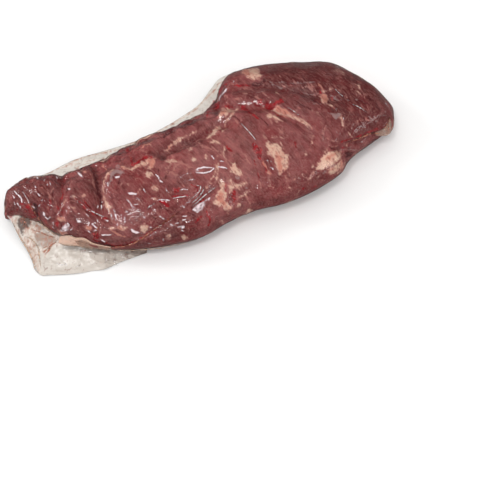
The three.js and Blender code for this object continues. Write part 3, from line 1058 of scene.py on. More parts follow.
@dataclass(frozen=True)
class CreaseForm:
    """How a stroke of film becomes a slender closed ridge that lies on a surface."""

    steps: int = 22
    sides: int = 8
    sunk: float = 0.35
    uneven: float = 0.3
    uneven_cell: float = 3
    flank: float = 0.35
    crest: float = 0.65

    @property
    def swell(self) -> Array:
        """From 0 at both ends to 1 in the middle: the square root of the sine of the way along."""
        return np.sqrt(np.maximum(np.sin(np.pi * np.linspace(0, 1, self.steps)), 0))

    @property
    def turn(self) -> Array:
        """The angle of each side of the cross-section."""
        return 2 * np.pi * np.arange(self.sides) / self.sides

    def ridge(self, crease: Crease, stroke: Array, view: PhotoView, skin: Skin) -> Array:
        """A ridge along a stroke. Its cross-section is an ellipse, half above the surface, whose
        half axes grow with the swell.

        Args:
            crease: kind and size.
            stroke: the pixels that it follows.
            view: the photograph's view.
            skin: the surface that it lies on.

        Returns:
            Rings of points.
        """
        pixels = resample(stroke, self.steps)
        middle = view.lift(pixels, skin)
        normal = skin.normals_near(middle)
        across = unit(np.cross(normal, np.gradient(middle, axis=0)))
        uneven = 1 + self.uneven * gradient_noise(middle, self.uneven_cell, 5)[:, None, None]
        wide = np.cos(self.turn)[None, :, None] * across[:, None] * crease.half_width
        high = np.sin(self.turn)[None, :, None]
        high = np.where(high < 0, high * self.sunk, high) * normal[:, None] * crease.height
        return middle[:, None] + (wide + high) * self.swell[:, None, None] * uneven

    @property
    def core(self) -> Array:
        """How solid the film is: most on the ridge's crest, and nothing at its ends."""
        crown = np.clip(self.flank + self.crest * np.sin(self.turn), 0, 1)
        return self.swell[:, None] * crown


# Pieces


@dataclass
class Tenderloin:
    """The raw muscle, with its lumps, fat, silver skin and blood, a little inside the film. Sizes
    are in millimetres. A kind of lump has a height, and a cell for its noise. The ragged edges of
    the marks come from noises of a cell, a reach in pixels and a seed."""

    inset: float = 0.9
    lump: float = 1.0
    lump_cell: float = 34
    dimple: float = 0.4
    dimple_cell: float = 9
    grain: float = 0.16
    grain_cell: float = 3.2
    grain_turn: float = -70
    grain_stretch: float = 6
    furrow: float = 1.6
    back_lump: float = 3.4
    back_lump_cell: float = 13
    highest: float = 1.6
    ground_gap: float = 0.3
    ragged: tuple[tuple[float, float, int], ...] = ((6, 0.9, 11), (2.5, 0.5, 15))
    patch_cell: float = 17
    patch_stretch: Triple = (1.8, 1, 1)
    soft: float = 1.8
    softer: dict[Trait, float] = field(
        default_factory=lambda: {Trait.FAT: 2.5, Trait.DEEP_AND_PAINTED_SHADE: 11, Trait.PALE_AND_PAINTED_LIGHT: 11}
    )
    rises: dict[Trait, float] = field(default_factory=lambda: {
        Trait.FAT: 0.7, Trait.ROSE: 0.2, Trait.SILVER: 0.25, Trait.VEIN: 0.25, Trait.BLOOD: -0.5,
        Trait.DARK_AND_PAINTED_SHADE: -1.0,
    })

    def traits(self, base: Skin, view: PhotoView) -> dict[Trait, Array]:
        """How strongly each trait shows at each point of the meat, 0 to 1. Where the photograph
        shows nothing, noise makes patches of fat.

        Args:
            base: the loft.
            view: the photograph's view.

        Returns:
            One array of the grid's shape for each trait.
        """
        shift = sum(
            reach * np.stack([gradient_noise(base.places, cell, seed + k) for k in (0, 1)], axis=-1)
            for cell, reach, seed in self.ragged
        )
        at = view.shown_at(base, shift)
        shown = {
            trait: covered(at, marks, self.softer.get(trait, self.soft))
            for trait, marks in MARKS.items()
        }
        unseen = (at[..., 0] == view.nowhere).astype(float)
        hidden = blurred(unseen, 6) * (base.places[..., 2] > 2)
        patches = fractal(base.places / self.patch_stretch, self.patch_cell, 91, 3)
        shown[Trait.FAT] = np.maximum(shown[Trait.FAT], hidden * smoothstep(patches, 0.3, 0.5))
        return shown

    def heights(self, base: Skin, shown: dict[Trait, Array], form: PackForm) -> Array:
        """Height of the meat over the loft: lumps, dimples, a stretched grain and the traits, less
        the furrows' bottoms, with more lumps behind.

        Args:
            base: the loft.
            shown: the traits.
            form: the pack's form, for its furrows.

        Returns:
            Millimetres at each point, negative inside the loft.
        """
        x, y, z = np.moveaxis(base.places, -1, 0)
        lean = math.radians(self.grain_turn)
        along = x * math.cos(lean) + y * math.sin(lean)
        aside = y * math.cos(lean) - x * math.sin(lean)
        stretched = np.stack([along / self.grain_stretch, aside, z], axis=-1)
        height = self.lump * fractal(base.places, self.lump_cell, 21, 2)
        height = height + self.dimple * fractal(base.places, self.dimple_cell, 31, 2)
        height = height + self.grain * fractal(stretched, self.grain_cell, 41, 2)
        height = height - self.furrow * form.furrows(base.places)
        height = height + sum(rise * shown[trait] for trait, rise in self.rises.items())
        behind = smoothstep(base.normals[..., 1], 0.0, 0.5)
        behind = behind * (1 - smoothstep(x, 30, 60)) * smoothstep(z, 8, 20)
        height = height + self.back_lump * behind * fractal(base.places, self.back_lump_cell, 81, 2)
        return np.minimum(height - self.inset, self.highest) * off_ground(base.normals)

    def build(
        self, base: Skin, heights: Array, shown: dict[Trait, Array], material: Material
    ) -> None:
        """Makes the piece.

        Args:
            base: the loft.
            heights: of the meat over the loft.
            shown: the traits, which go into its attributes.
            material: raw beef.
        """
        rings = base.places + base.normals * heights[..., None]
        rings[..., 2] = np.maximum(rings[..., 2], self.ground_gap)
        piece = make_piece("tenderloin", [rings])
        for trait, values in shown.items():
            paint(piece, trait.value, values)
        dress(piece, material)


@dataclass
class ClingFilm:
    """The film that clings to the meat. It bridges the dips of the meat and is crinkled where it is
    slack, on the left and along the front. Sizes are in millimetres, and bridge and ease are rounds
    over the grid."""

    gap: float = 0.25
    bridge: int = 3
    ease: int = 7
    crinkle: float = 0.5
    crinkle_cell: float = 11
    crinkle_power: int = 6
    tight: float = 0.12
    slack_lean: float = 0.45
    slack_span: Pair = (-70, 40)
    glint_rise: float = 0.35
    glint_soft: float = 0.9

    def slack(self, places: Array) -> Array:
        """How slack the film is: 1 at the left, 0 on the head."""
        leaning = places[..., 0] + self.slack_lean * places[..., 1]
        return np.clip(1 - smoothstep(leaning, *self.slack_span), 0, 1)

    def rings(self, base: Skin, meat: Array, glare: Array) -> Array:
        """The film's points: the meat's heights, with dips filled by their highest neighbours and
        eased, and creases where the noise crosses 0, at least a small gap above the meat.

        Args:
            base: the loft.
            meat: the meat's heights over it.
            glare: the painted highlights, which also raise the film a little.

        Returns:
            Rings of points.
        """
        spanned = blurred(swollen(meat, self.bridge), self.ease)
        crease = 1 - np.abs(fractal(base.places, self.crinkle_cell, 51, 2))
        strength = self.tight + (self.crinkle - self.tight) * self.slack(base.places)
        height = np.maximum(spanned, meat) + self.gap
        height = height + strength * np.clip(crease, 0, 1) ** self.crinkle_power
        height = (height + self.glint_rise * glare) * off_ground(base.normals)
        rings = base.places + base.normals * height[..., None]
        rings[..., 2] = np.maximum(rings[..., 2], 0)
        return rings

    def build(self, rings: Array, glare: Array, material: Material) -> None:
        """Makes the piece, and paints how slack it is and its painted highlights.

        Args:
            rings: its points.
            glare: the painted highlights.
            material: clear film.
        """
        piece = make_piece("cling_film", [rings])
        paint(piece, "slack", self.slack(rings))
        paint(piece, "glint", glare)
        dress(piece, material)


@dataclass
class SpareSheet:
    """A sheet of spare film between a root line in the pack and an edge line. It drops steeply at
    first and then flattens, by the power sag, and it is crumpled a little. Sizes are in
    millimetres, and the stains' soft edges in pixels."""

    name: str
    root: Array
    edge: Array
    sag: float
    steps: int
    across: int
    ripple: float
    cell: float
    thickness: float = 0.6
    soft: float = 1.4
    ragged_cell: float = 6
    ripple_rise: float = 3
    stretch: Triple = (1, 1, 0.5)

    def middle(self) -> Array:
        """The middle surface: root + share (edge - root), with the height edge + (root - edge)
        (1 - share)^sag, and ripples by noise that vanish at the root.

        Returns:
            A grid of points, the steps along it by the points across it.
        """
        root, edge = (resample(line, self.steps)[:, None] for line in (self.root, self.edge))
        share = np.linspace(0, 1, self.across)[None, :, None]
        sheet = root + (edge - root) * share
        sheet[..., 2:] = edge[..., 2:] + (root[..., 2:] - edge[..., 2:]) * (1 - share) ** self.sag
        wave = 1 - np.abs(fractal(sheet / self.stretch, self.cell, 61, 3))
        grown = np.minimum(1, self.ripple_rise * share[..., 0])
        sheet[..., 2] += self.ripple * (wave - 0.5) * grown
        sheet[..., 2] = np.maximum(sheet[..., 2], self.thickness / 2)
        return sheet

    def build(
        self, material: Material, marks: dict[str, tuple[Mark, ...]], view: PhotoView
    ) -> Skin:
        """Makes the piece, with a rounded rim and its stains.

        Args:
            material: spare film.
            marks: for each attribute, where it shows.
            view: the photograph's view.

        Returns:
            Its middle surface, for what lies on it.
        """
        sheet = self.middle()
        piece = make_piece(self.name, [slab(sheet, self.thickness)])
        noises = [gradient_noise(sheet, self.ragged_cell, seed) for seed in (71, 72)]
        at = view.pixels(sheet) + np.stack(noises, axis=-1)
        for attribute, group in marks.items():
            total = covered(at, group, self.soft)
            paint(piece, attribute, np.concatenate([total, total[:, ::-1]], axis=1))
        dress(piece, material)
        return Skin(sheet, sheet_normals(sheet))


# Where the spare film lies, and its stains

MARGIN_EDGE: Path = (
    (-222, 34), (-206, 46), (-175, 50), (-140, 57), (-100, 57), (-60, 58), (-30, 64),
    (0, 73), (25, 83), (45, 99), (62, 111), (90, 113), (118, 104), (136, 90),
)

TAIL_EDGE = (
    (-236, 5, 18), (-232, -6, 12), (-229, -22, 6), (-225, -42, 3), (-223, -60, 1),
    (-220, -74, 0.8), (-210, -78, 0.8), (-183, -86, 0.8), (-163, -89, 0.8), (-150, -92, 0.8),
    (-130, -89.5, 0.8), (-96, -88, 1),
)

TAIL_ROOT = (
    (-230, 4, 19), (-221, -1, 20), (-212, -6, 20), (-204, -12, 20), (-196, -18, 20),
    (-184, -30, 19), (-172, -42, 17), (-162, -50, 14), (-148, -58, 10), (-134, -64, 7),
    (-118, -70, 5), (-96, -76, 4),
)

FLAP_UPPER = "60,236 68,235 76,237.5 84,238 93,243 103,245.5 111,247"

FLAP_LOWER = "58,242 64,245 75,245.5 81,246.5 91,248 103,249.5 112,250"

TAB_ROOT = "375,132.5 380,130.5 384,128 388,123.5 390.5,118"

TAB_EDGE = "376,134.5 381,135 387,134.5 391,131 391.5,122"

MARGIN_MARKS: dict[str, tuple[Mark, ...]] = {
    "tan": (
        Mark("free edge", 0.5, """
        45,174 50.5,172.5 58,168.5 66,166 72.5,162.5 79.5,158.5 91,155.5 102.5,153 115.5,150.5
        124,148 130,144.5 155.5,134 181,118.5 196.5,109 204.5,100 213,93 220,83 228,77"""),
        Mark("striations at the left", 0.3,
            "69,166 80,163 94,159.5 / 76,168 88,164 97,160 / 100,160 112,155"),
        Mark("stain beside the meat", 1.4, "81,171 86,169.5 / 100,166 105,165.5"),
    ),
    "blood": (
        Patch("juice in the corner", 0,
            "203.5,115.5 206.5,109.5 211.5,104 213,100 220,100 219.5,107.5 212.5,111"),
    ),
    "grey": (
        Patch("clear part in the middle", 0,
            "150,140 165,130 185,119 200,107 207,108 190,121 170,130 155,137", strength=0.2),
    ),
}

TAIL_MARKS: dict[str, tuple[Mark, ...]] = {
    "tan": (
        Patch("left band", 0, """
        11,219 16,229.5 22.5,241.5 29,252 33.5,262.5 35,269 39.5,274 41.5,271 39.5,257.5 38,247
        31,239 24,236 19,229.5 17.5,223.5 14,216.5""", strength=0.52),
        Patch("warm cast of the crossing", 0, """
        14,214 21,214 30,219 39,224 46,229 57,236 64,234 61,246 53,245 43,252 38,248 31,240 24,237
        18,226""", strength=0.5),
        Mark("around the folds", 0.8, """
        31,229.5 39.5,232 49,236 56,238 / 57,236 55,242 50.5,246 45.5,250.5 42,252 / 52,246 45,255.5
        / 14,208.5 21,212 28,215.5 33,219 39.5,222.5 46.5,228 53.5,234 57.5,235.5 / 42,248.5 49,246
        / 19,222 24,220 28,224 / 22,228 26,226 29,229"""),
    ),
    "blood": (
        Mark("juice at the corner", 0.8, "21,212 26,214.5 33,219"),
        Patch("meat through the film", 0, "7,215 10,212 14,210 19,212 17.5,215 14,216.5 12,222"),
    ),
    # grey: painted shade where the clear film shows the shade beneath it, the shadow under the
    # front and the shaded tip, and the greyer second layer on the right.
    "grey": (
        Patch("clear windows", 0, """
        31,219 35,222 42,225.5 49,232 50.5,235.5 45,233 36.5,228 31.5,225.5 / 33.5,233 39.5,232
        49,236.5 56,238 55.5,241.5 49,246 42,248 38,246 35,239 / 61,241 63,241 63,244.5 61.5,244.5
        """),
        Patch("corner beside the meat", 0,
            "30,217 36,219 47,227 57,234 62,234 56,240 46,238 36,231", strength=0.6),
        Patch("second layer on the right", 0,
            "104,250 112,251 148,253 120,262 104,269", strength=0.5),
        Patch("tip on the right", 0.5, "130,250 149,251 147,255 138,258 133,256"),
        Patch("shade under the front", 0,
            "63,246 70,244.5 91,248 110,250 110,254 91,253 70,250 62,249.5"),
    ),
    # dark: painted shade on the tip, and a darker crumpled patch.
    "dark": (
        Patch("shaded tip", 0, "139,250 149,251 147,254 141,256", strength=0.5),
        Patch("wrinkled dark patch", 0, """
        17.5,219 21,213.5 26,215 31,219 31,224.5 27.5,228 24,230.5 23,237.5 19,229.5 17.5,223.5"""),
    ),
}


# Finishes


def linear(red: float, green: float, blue: float) -> Tone:
    """The light of a colour seen on a screen, 0 to 255: ((c + 0.055) / 1.055)^2.4."""
    return tuple(((c / 255 + 0.055) / 1.055) ** 2.4 for c in (red, green, blue)) + (1.0,)


CLEAR_TINT: Tone = (0.98, 0.97, 0.96, 1)
FILM_INDEX = 1.45


class Tree:
    """Lays out and links the nodes of a material or of a group."""

    def __init__(self, tree: NodeTree) -> None:
        """Takes over a node tree."""
        self.tree = tree

    def fill(self, node: Node, inputs: Inputs) -> None:
        """Links or sets a node's inputs.

        Args:
            node: the node.
            inputs: for each input's name or number, a socket to link or a constant.
        """
        for name, value in inputs.items():
            if isinstance(value, Socket):
                self.tree.links.new(value, node.inputs[name])
            else:
                node.inputs[name].default_value = value

    def add(self, kind: str, inputs: Inputs | None = None, **settings: Any) -> Node:
        """Adds a node.

        Args:
            kind: the node's type, without its prefix.
            inputs: for each input's name or number, a socket to link or a constant.
            settings: the node's own settings.

        Returns:
            The new node.
        """
        node = self.tree.nodes.new("ShaderNode" + kind)
        for name, value in settings.items():
            setattr(node, name, value)
        self.fill(node, inputs or {})
        return node

    def places(self, stretch: Triple = (1, 1, 1), turn: float = 0) -> Socket:
        """Object coordinates, turned about Z and then stretched.

        Args:
            stretch: factor along each axis.
            turn: in degrees.

        Returns:
            The coordinates.
        """
        coords = self.add("TexCoord").outputs["Object"]
        angles = (0, 0, math.radians(turn))
        turned = self.add("Mapping", {"Vector": coords, "Rotation": angles}, vector_type="POINT")
        return self.add("Mapping", {"Vector": turned.outputs[0], "Scale": stretch}).outputs[0]

    def noise(self, where: Socket, cell: float, detail: float = 2, warp: float = 0) -> Socket:
        """Noise of a cell in millimetres, 0 to 1."""
        inputs = {"Vector": where, "Scale": 1000 / cell, "Detail": detail, "Distortion": warp}
        return self.add("TexNoise", inputs).outputs["Fac"]

    def waver(self, where: Socket, cell: float, detail: float, warp: float) -> Socket:
        """Noise of a cell in millimetres, -0.5 to 0.5."""
        return self.calc("SUBTRACT", self.noise(where, cell, detail, warp), 0.5)

    def borders(self, where: Socket, bend: Socket, shift: Pair, cell: float) -> Socket:
        """Distance to the nearest border of cells that a noise has bent.

        Args:
            where: the coordinates.
            bend: the noise.
            shift: how far it moves the coordinates, along X and Y, in metres.
            cell: size of a cell in millimetres.

        Returns:
            The distance, in cells.
        """
        moves = {axis: self.times(bend, size) for axis, size in enumerate(shift)}
        moved = {0: where, 1: self.add("CombineXYZ", moves).outputs[0]}
        warped = self.add("VectorMath", moved, operation="ADD").outputs[0]
        inputs = {"Vector": warped, "Scale": 1000 / cell}
        return self.add("TexVoronoi", inputs, feature="DISTANCE_TO_EDGE").outputs["Distance"]

    def attribute(self, name: str) -> Socket:
        """A point attribute of the piece."""
        return self.add("Attribute", attribute_name=name).outputs["Fac"]

    def calc(self, operation: str, first: Any, second: Any, clamp: bool = False) -> Socket:
        """One sum of two values."""
        inputs = {0: first, 1: second}
        return self.add("Math", inputs, operation=operation, use_clamp=clamp).outputs[0]

    def times(self, first: Any, second: Any, clamp: bool = False) -> Socket:
        """A product."""
        return self.calc("MULTIPLY", first, second, clamp)

    def plus(self, first: Any, second: Any, clamp: bool = False) -> Socket:
        """A total."""
        return self.calc("ADD", first, second, clamp)

    def band(self, value: Socket, low: float, high: float, to: Pair = (0, 1)) -> Socket:
        """A smooth step from low to high."""
        inputs = {0: value, 1: low, 2: high, 3: to[0], 4: to[1]}
        return self.add("MapRange", inputs, interpolation_type="SMOOTHSTEP").outputs[0]

    def blend(self, share: Any, first: Any, second: Any) -> Socket:
        """A colour between two colours."""
        inputs = {0: share, 6: first, 7: second}
        return self.add("Mix", inputs, data_type="RGBA").outputs[2]

    def tinted(self, colour: Any, mask: Socket, share: float, tone: Any) -> Socket:
        """A colour with a tone laid over it, by a share of a mask."""
        return self.blend(self.times(mask, share), colour, tone)

    def mix(self, share: Any, first: Node, second: Node) -> Node:
        """A shader between two shaders."""
        return self.add("MixShader", {0: share, 1: first.outputs[0], 2: second.outputs[0]})

    def group(self, tree: NodeTree, **inputs: Any) -> Socket:
        """Places a group with its own values.

        Args:
            tree: the group, which gives one value.
            inputs: for each input's name, a socket to link or a constant.

        Returns:
            The value that it gives.
        """
        node = self.add("Group", node_tree=tree)
        self.fill(node, inputs)
        return node.outputs[0]

    def bump(self, height: Socket, distance: float, strength: float) -> Socket:
        """A normal bent by a height, whose full rise is a distance in millimetres."""
        inputs = {"Height": height, "Distance": distance * MM, "Strength": strength}
        return self.add("Bump", inputs).outputs[0]

    def film(
        self, cover: Any, body: Node, gloss: float, normal: Socket | None = None,
        tint: Tone = CLEAR_TINT,
    ) -> Node:
        """Film: clear or with a body, and glossy by the angle at which it is seen.

        Args:
            cover: share of the body.
            body: shader of what isn't clear.
            gloss: roughness of the gloss.
            normal: a bent normal.
            tint: of the clear part.

        Returns:
            The shader.
        """
        bent = {} if normal is None else {"Normal": normal}
        clear = self.add("BsdfTransparent", {"Color": tint})
        shine = self.add("BsdfGlossy", {"Roughness": gloss, **bent})
        fresnel = self.add("Fresnel", {"IOR": FILM_INDEX, **bent})
        return self.mix(fresnel.outputs[0], self.mix(cover, clear, body), shine)

    def finish(self, shader: Node) -> None:
        """Links the shader to the material's output."""
        self.add("OutputMaterial", {"Surface": shader.outputs[0]})


def new_material(name: str) -> tuple[Material, Tree]:
    """An empty material.

    Args:
        name: its name.

    Returns:
        The material and its tree.
    """
    material = bpy.data.materials.new(name)
    material.use_nodes = True
    material.node_tree.nodes.clear()
    return material, Tree(material.node_tree)


class FilmEffects:
    """The effects that all the film's materials share, as groups made once."""

    def __init__(self) -> None:
        """Makes the groups."""
        self.crinkle = self.make_group("film_crinkle", "Slack", "Height", self.crinkled)
        self.haze = self.make_group("film_haze", "Amount", "Haze", self.hazed)

    @staticmethod
    def make_group(
        name: str, taken: str, given: str, effect: Callable[[Tree, Socket], Socket]
    ) -> NodeTree:
        """Makes a group.

        Args:
            name: the group's name.
            taken: name of the value that it takes, 0 to 1.
            given: name of the value that it gives.
            effect: lays out the nodes between them.

        Returns:
            The group.
        """
        tree = bpy.data.node_groups.new(name, "ShaderNodeTree")
        tree.interface.new_socket(taken, in_out="INPUT", socket_type="NodeSocketFloat")
        tree.interface.new_socket(given, in_out="OUTPUT", socket_type="NodeSocketFloat")
        value = effect(Tree(tree), tree.nodes.new("NodeGroupInput").outputs[taken])
        tree.links.new(value, tree.nodes.new("NodeGroupOutput").inputs[given])
        return tree

    @staticmethod
    def crinkled(nodes: Tree, slack: Socket) -> Socket:
        """Sharp small folds between flat facets: the distance to the nearest border of warped
        cells, and finer waves that show on tight film too.

        Args:
            nodes: the group's tree.
            slack: how slack the film is.

        Returns:
            The height, 0 to 1.
        """
        where = nodes.places()
        borders = nodes.borders(where, nodes.noise(where, 14, 2, 0.6), (0.012, -0.008), 8.5)
        folds = nodes.band(borders, 0.0, 0.2, (1, 0))
        facets = nodes.noise(nodes.places((1, 0.45, 1), 22), 6, 2, 0.5)
        fine = nodes.noise(nodes.places((1, 0.3, 1), 25), 2.2, 2, 0.4)
        broad = nodes.plus(nodes.times(folds, 0.12), nodes.times(facets, 0.9))
        return nodes.plus(nodes.times(broad, slack), nodes.times(fine, 0.18))

    @staticmethod
    def hazed(nodes: Tree, amount: Socket) -> Socket:
        """Dull smears where the film lies off the meat: soft cloudy noise with thin streaks.

        Args:
            nodes: the group's tree.
            amount: how much haze there is.

        Returns:
            The haze, 0 to 1.
        """
        clouds = nodes.band(nodes.noise(nodes.places(), 28, 3, 0.4), 0.4, 0.75)
        streaks = nodes.band(nodes.noise(nodes.places((0.22, 1, 1), 30), 3.2, 3, 0.3), 0.52, 0.72)
        both = nodes.plus(nodes.times(clouds, 0.6), nodes.times(streaks, 0.5))
        return nodes.times(both, amount, clamp=True)


@dataclass(frozen=True)
class RawBeef:
    """Raw muscle: mauve to maroon, mottled, with a faint grain, marbling, fat, silver skin and
    blood. The fibres run at a turn in degrees."""

    mauve: Tone = linear(178, 103, 104)
    maroon: Tone = linear(158, 74, 76)
    # pale and deep lighten and darken the broad marked areas, partly as the meat's tone and partly
    # as painted light and shade; deep also tints the random spots
    pale: Tone = linear(206, 134, 132)
    deep: Tone = linear(108, 38, 40)
    flush: Tone = linear(160, 42, 50)
    thread: Tone = linear(212, 150, 142)
    fat: Tone = linear(253, 221, 201)
    pink_fat: Tone = linear(233, 164, 146)
    silver: Tone = linear(208, 186, 186)
    blood: Tone = linear(204, 24, 42)
    old_blood: Tone = linear(146, 14, 28)
    # dark: painted shade in hollows, furrows and under edges, and the dark streaks
    dark: Tone = linear(92, 16, 28)
    roughness: float = 0.42
    specular: float = 0.25
    turn: float = -20
    fibre: Triple = (1, 0.3, 1)
    grain_fibre: Triple = (1, 0.16, 1)
    grain_share: float = 0.29
    raggedness: float = 2.0

    def make(self) -> Material:
        """Builds the material.

        Returns:
            Raw beef.
        """
        material, nodes = new_material("raw_beef")
        where = nodes.places()
        edge = nodes.waver(nodes.places(self.fibre, self.turn), 2.6, 4, 0.6)
        grain = nodes.noise(nodes.places(self.grain_fibre, self.turn), 2.0, 3, 0.2)
        grain = nodes.band(grain, 0.42, 0.68)
        colour = self.muscle(nodes, where, edge, grain)
        colour = self.marked(nodes, where, edge, colour)
        colour = self.with_fat(nodes, where, edge, colour)
        height = nodes.plus(nodes.times(grain, 0.5), nodes.noise(where, 1.8, 3))
        span = (self.roughness - 0.08, self.roughness + 0.1)
        rough = nodes.band(nodes.noise(where, 12, 2), 0.3, 0.7, span)
        nodes.finish(nodes.add("BsdfPrincipled", {
            "Base Color": colour, "Roughness": rough, "Specular IOR Level": self.specular,
            "Normal": nodes.bump(height, 0.5, 0.5),
        }))
        return material

    def muscle(self, nodes: Tree, where: Socket, edge: Socket, grain: Socket) -> Socket:
        """The bare muscle: mauve and maroon in broad clouds, pale and deep where the marks say so,
        which is partly its own tone and partly painted light and shade, then its spots, its grain
        and its marbling.

        Args:
            nodes: the material's tree.
            where: the coordinates.
            edge: the noise of ragged edges.
            grain: the grain's threads.

        Returns:
            Its colour.
        """
        broad = nodes.band(nodes.noise(where, 46, 2, 0.5), 0.35, 0.65)
        colour = nodes.tinted(self.mauve, broad, 0.8, self.maroon)
        # Painted light and shade: the pale marks lighten and the deep marks darken broad areas,
        # partly as the meat's own tone.
        colour = nodes.tinted(colour, nodes.attribute("pale"), 0.55, self.pale)
        deep = nodes.plus(nodes.attribute("deep"), nodes.times(edge, 0.5), clamp=True)
        colour = nodes.tinted(colour, deep, 0.8, self.deep)
        for cell, low, high, share, tone in (
            (11, 0.42, 0.66, 0.5, self.deep), (19, 0.5, 0.66, 0.35, self.flush),
            (5, 0.5, 0.66, 0.35, self.deep), (1.6, 0.5, 0.7, 0.22, self.deep),
            (2.6, 0.62, 0.7, 0.45, self.thread),
        ):
            noise = nodes.noise(nodes.places((1, 0.6, 1), self.turn + cell), cell, 3, 0.5)
            colour = nodes.tinted(colour, nodes.band(noise, low, high), share, tone)
        colour = nodes.tinted(colour, grain, self.grain_share, self.thread)
        return nodes.tinted(colour, self.marbling(nodes, where), 0.42, self.thread)

    def marked(self, nodes: Tree, where: Socket, edge: Socket, colour: Socket) -> Socket:
        """Silver skin, veins, painted shade in the hollows with some dark streaks, blood, flushed
        places and the fat's rind over the muscle.

        Args:
            nodes: the material's tree.
            where: the coordinates.
            edge: the noise of ragged edges.
            colour: the muscle.

        Returns:
            The colour with them.
        """
        pooled = nodes.band(nodes.noise(where, 5, 3, 0.5), 0.4, 0.6)
        blood = nodes.blend(pooled, self.blood, self.old_blood)
        # The dark marks paint shade in hollows and under edges, with some dark streaks; the others
        # are the meat's own colours.
        for trait, tone, low, high, share in (
            (Trait.SILVER, self.silver, 0.3, 0.85, 0.6), (Trait.VEIN, self.thread, 0.3, 0.7, 0.85),
            (Trait.DARK_AND_PAINTED_SHADE, self.dark, 0.25, 0.8, 0.85), (Trait.BLOOD, blood, 0.15, 0.65, 0.92),
            (Trait.ROSE, self.pink_fat, 0.35, 0.65, 0.8), (Trait.FAT, self.thread, 0.1, 0.45, 0.5),
        ):
            colour = nodes.tinted(colour, self.ragged(nodes, trait, edge, low, high), share, tone)
        return colour

    def with_fat(self, nodes: Tree, where: Socket, edge: Socket, colour: Socket) -> Socket:
        """Fat over the meat: cream, flushed in patches and streaked.

        Args:
            nodes: the material's tree.
            where: the coordinates.
            edge: the noise of ragged edges.
            colour: the meat.

        Returns:
            The colour with it.
        """
        patches = nodes.times(nodes.band(nodes.noise(where, 4, 3, 0.8), 0.42, 0.66), 0.6)
        flushed = nodes.plus(patches, nodes.attribute("rose"), clamp=True)
        fat = nodes.blend(flushed, self.fat, self.pink_fat)
        fibres = nodes.places(self.fibre, self.turn)
        streaks = nodes.band(nodes.noise(fibres, 2.4, 3, 0.5), 0.54, 0.66)
        fat = nodes.tinted(fat, streaks, 0.5, self.flush)
        return nodes.blend(self.ragged(nodes, Trait.FAT, edge, 0.36, 0.8), colour, fat)

    def ragged(self, nodes: Tree, trait: Trait, edge: Socket, low: float, high: float) -> Socket:
        """A trait's attribute with a ragged edge: the noise is added, and a smooth step cuts it."""
        rough = nodes.times(edge, self.raggedness)
        return nodes.band(nodes.plus(nodes.attribute(trait.value), rough), low, high)

    @staticmethod
    def marbling(nodes: Tree, where: Socket) -> Socket:
        """Fine threads of fat: the borders of warped cells, kept where a broad noise is high.

        Args:
            nodes: the material's tree.
            where: the coordinates.

        Returns:
            A mask, 0 to 1.
        """
        borders = nodes.borders(where, nodes.noise(where, 9, 3, 0.5), (0.012, 0.016), 13)
        kept = nodes.band(nodes.noise(where, 18, 2), 0.54, 0.66)
        return nodes.times(nodes.band(borders, 0.012, 0.045, (1, 0)), kept)


@dataclass(frozen=True)
class ClearFilm:
    """Clear film on the meat: see-through, glossy, with a little haze, and with painted highlights
    that make it pale where the glint attribute is high."""

    tint: Tone = (0.97, 0.95, 0.94, 1)
    dull: Tone = linear(226, 204, 200)
    haze: float = 0.05
    flash: Tone = linear(236, 218, 222)
    gloss: float = 0.08

    def make(self, effects: FilmEffects) -> Material:
        """Builds the material.

        Args:
            effects: the film's shared groups.

        Returns:
            Clear film.
        """
        material, nodes = new_material("clear_film")
        slack = nodes.plus(nodes.times(nodes.attribute("slack"), 0.85), 0.15)
        normal = nodes.bump(nodes.group(effects.crinkle, Slack=slack), 1.2, 0.8)
        haze = nodes.times(nodes.group(effects.haze, Amount=1.0), self.haze)
        dull = nodes.add("BsdfPrincipled", {"Base Color": self.dull, "Roughness": 0.5})
        film = nodes.film(haze, dull, self.gloss, normal, self.tint)
        # The flash is a painted highlight, mixed in where the glint attribute is high.
        flash = nodes.add("BsdfPrincipled", {
            "Base Color": self.flash, "Roughness": 0.3, "Normal": normal,
        })
        broken = nodes.waver(nodes.places((1, 0.4, 1), 50), 2.4, 3, 0.4)
        lit = nodes.plus(nodes.attribute("glint"), nodes.times(broken, 1.4))
        nodes.finish(nodes.mix(nodes.band(lit, 0.3, 0.85, (0, 0.9)), film, flash))
        return material


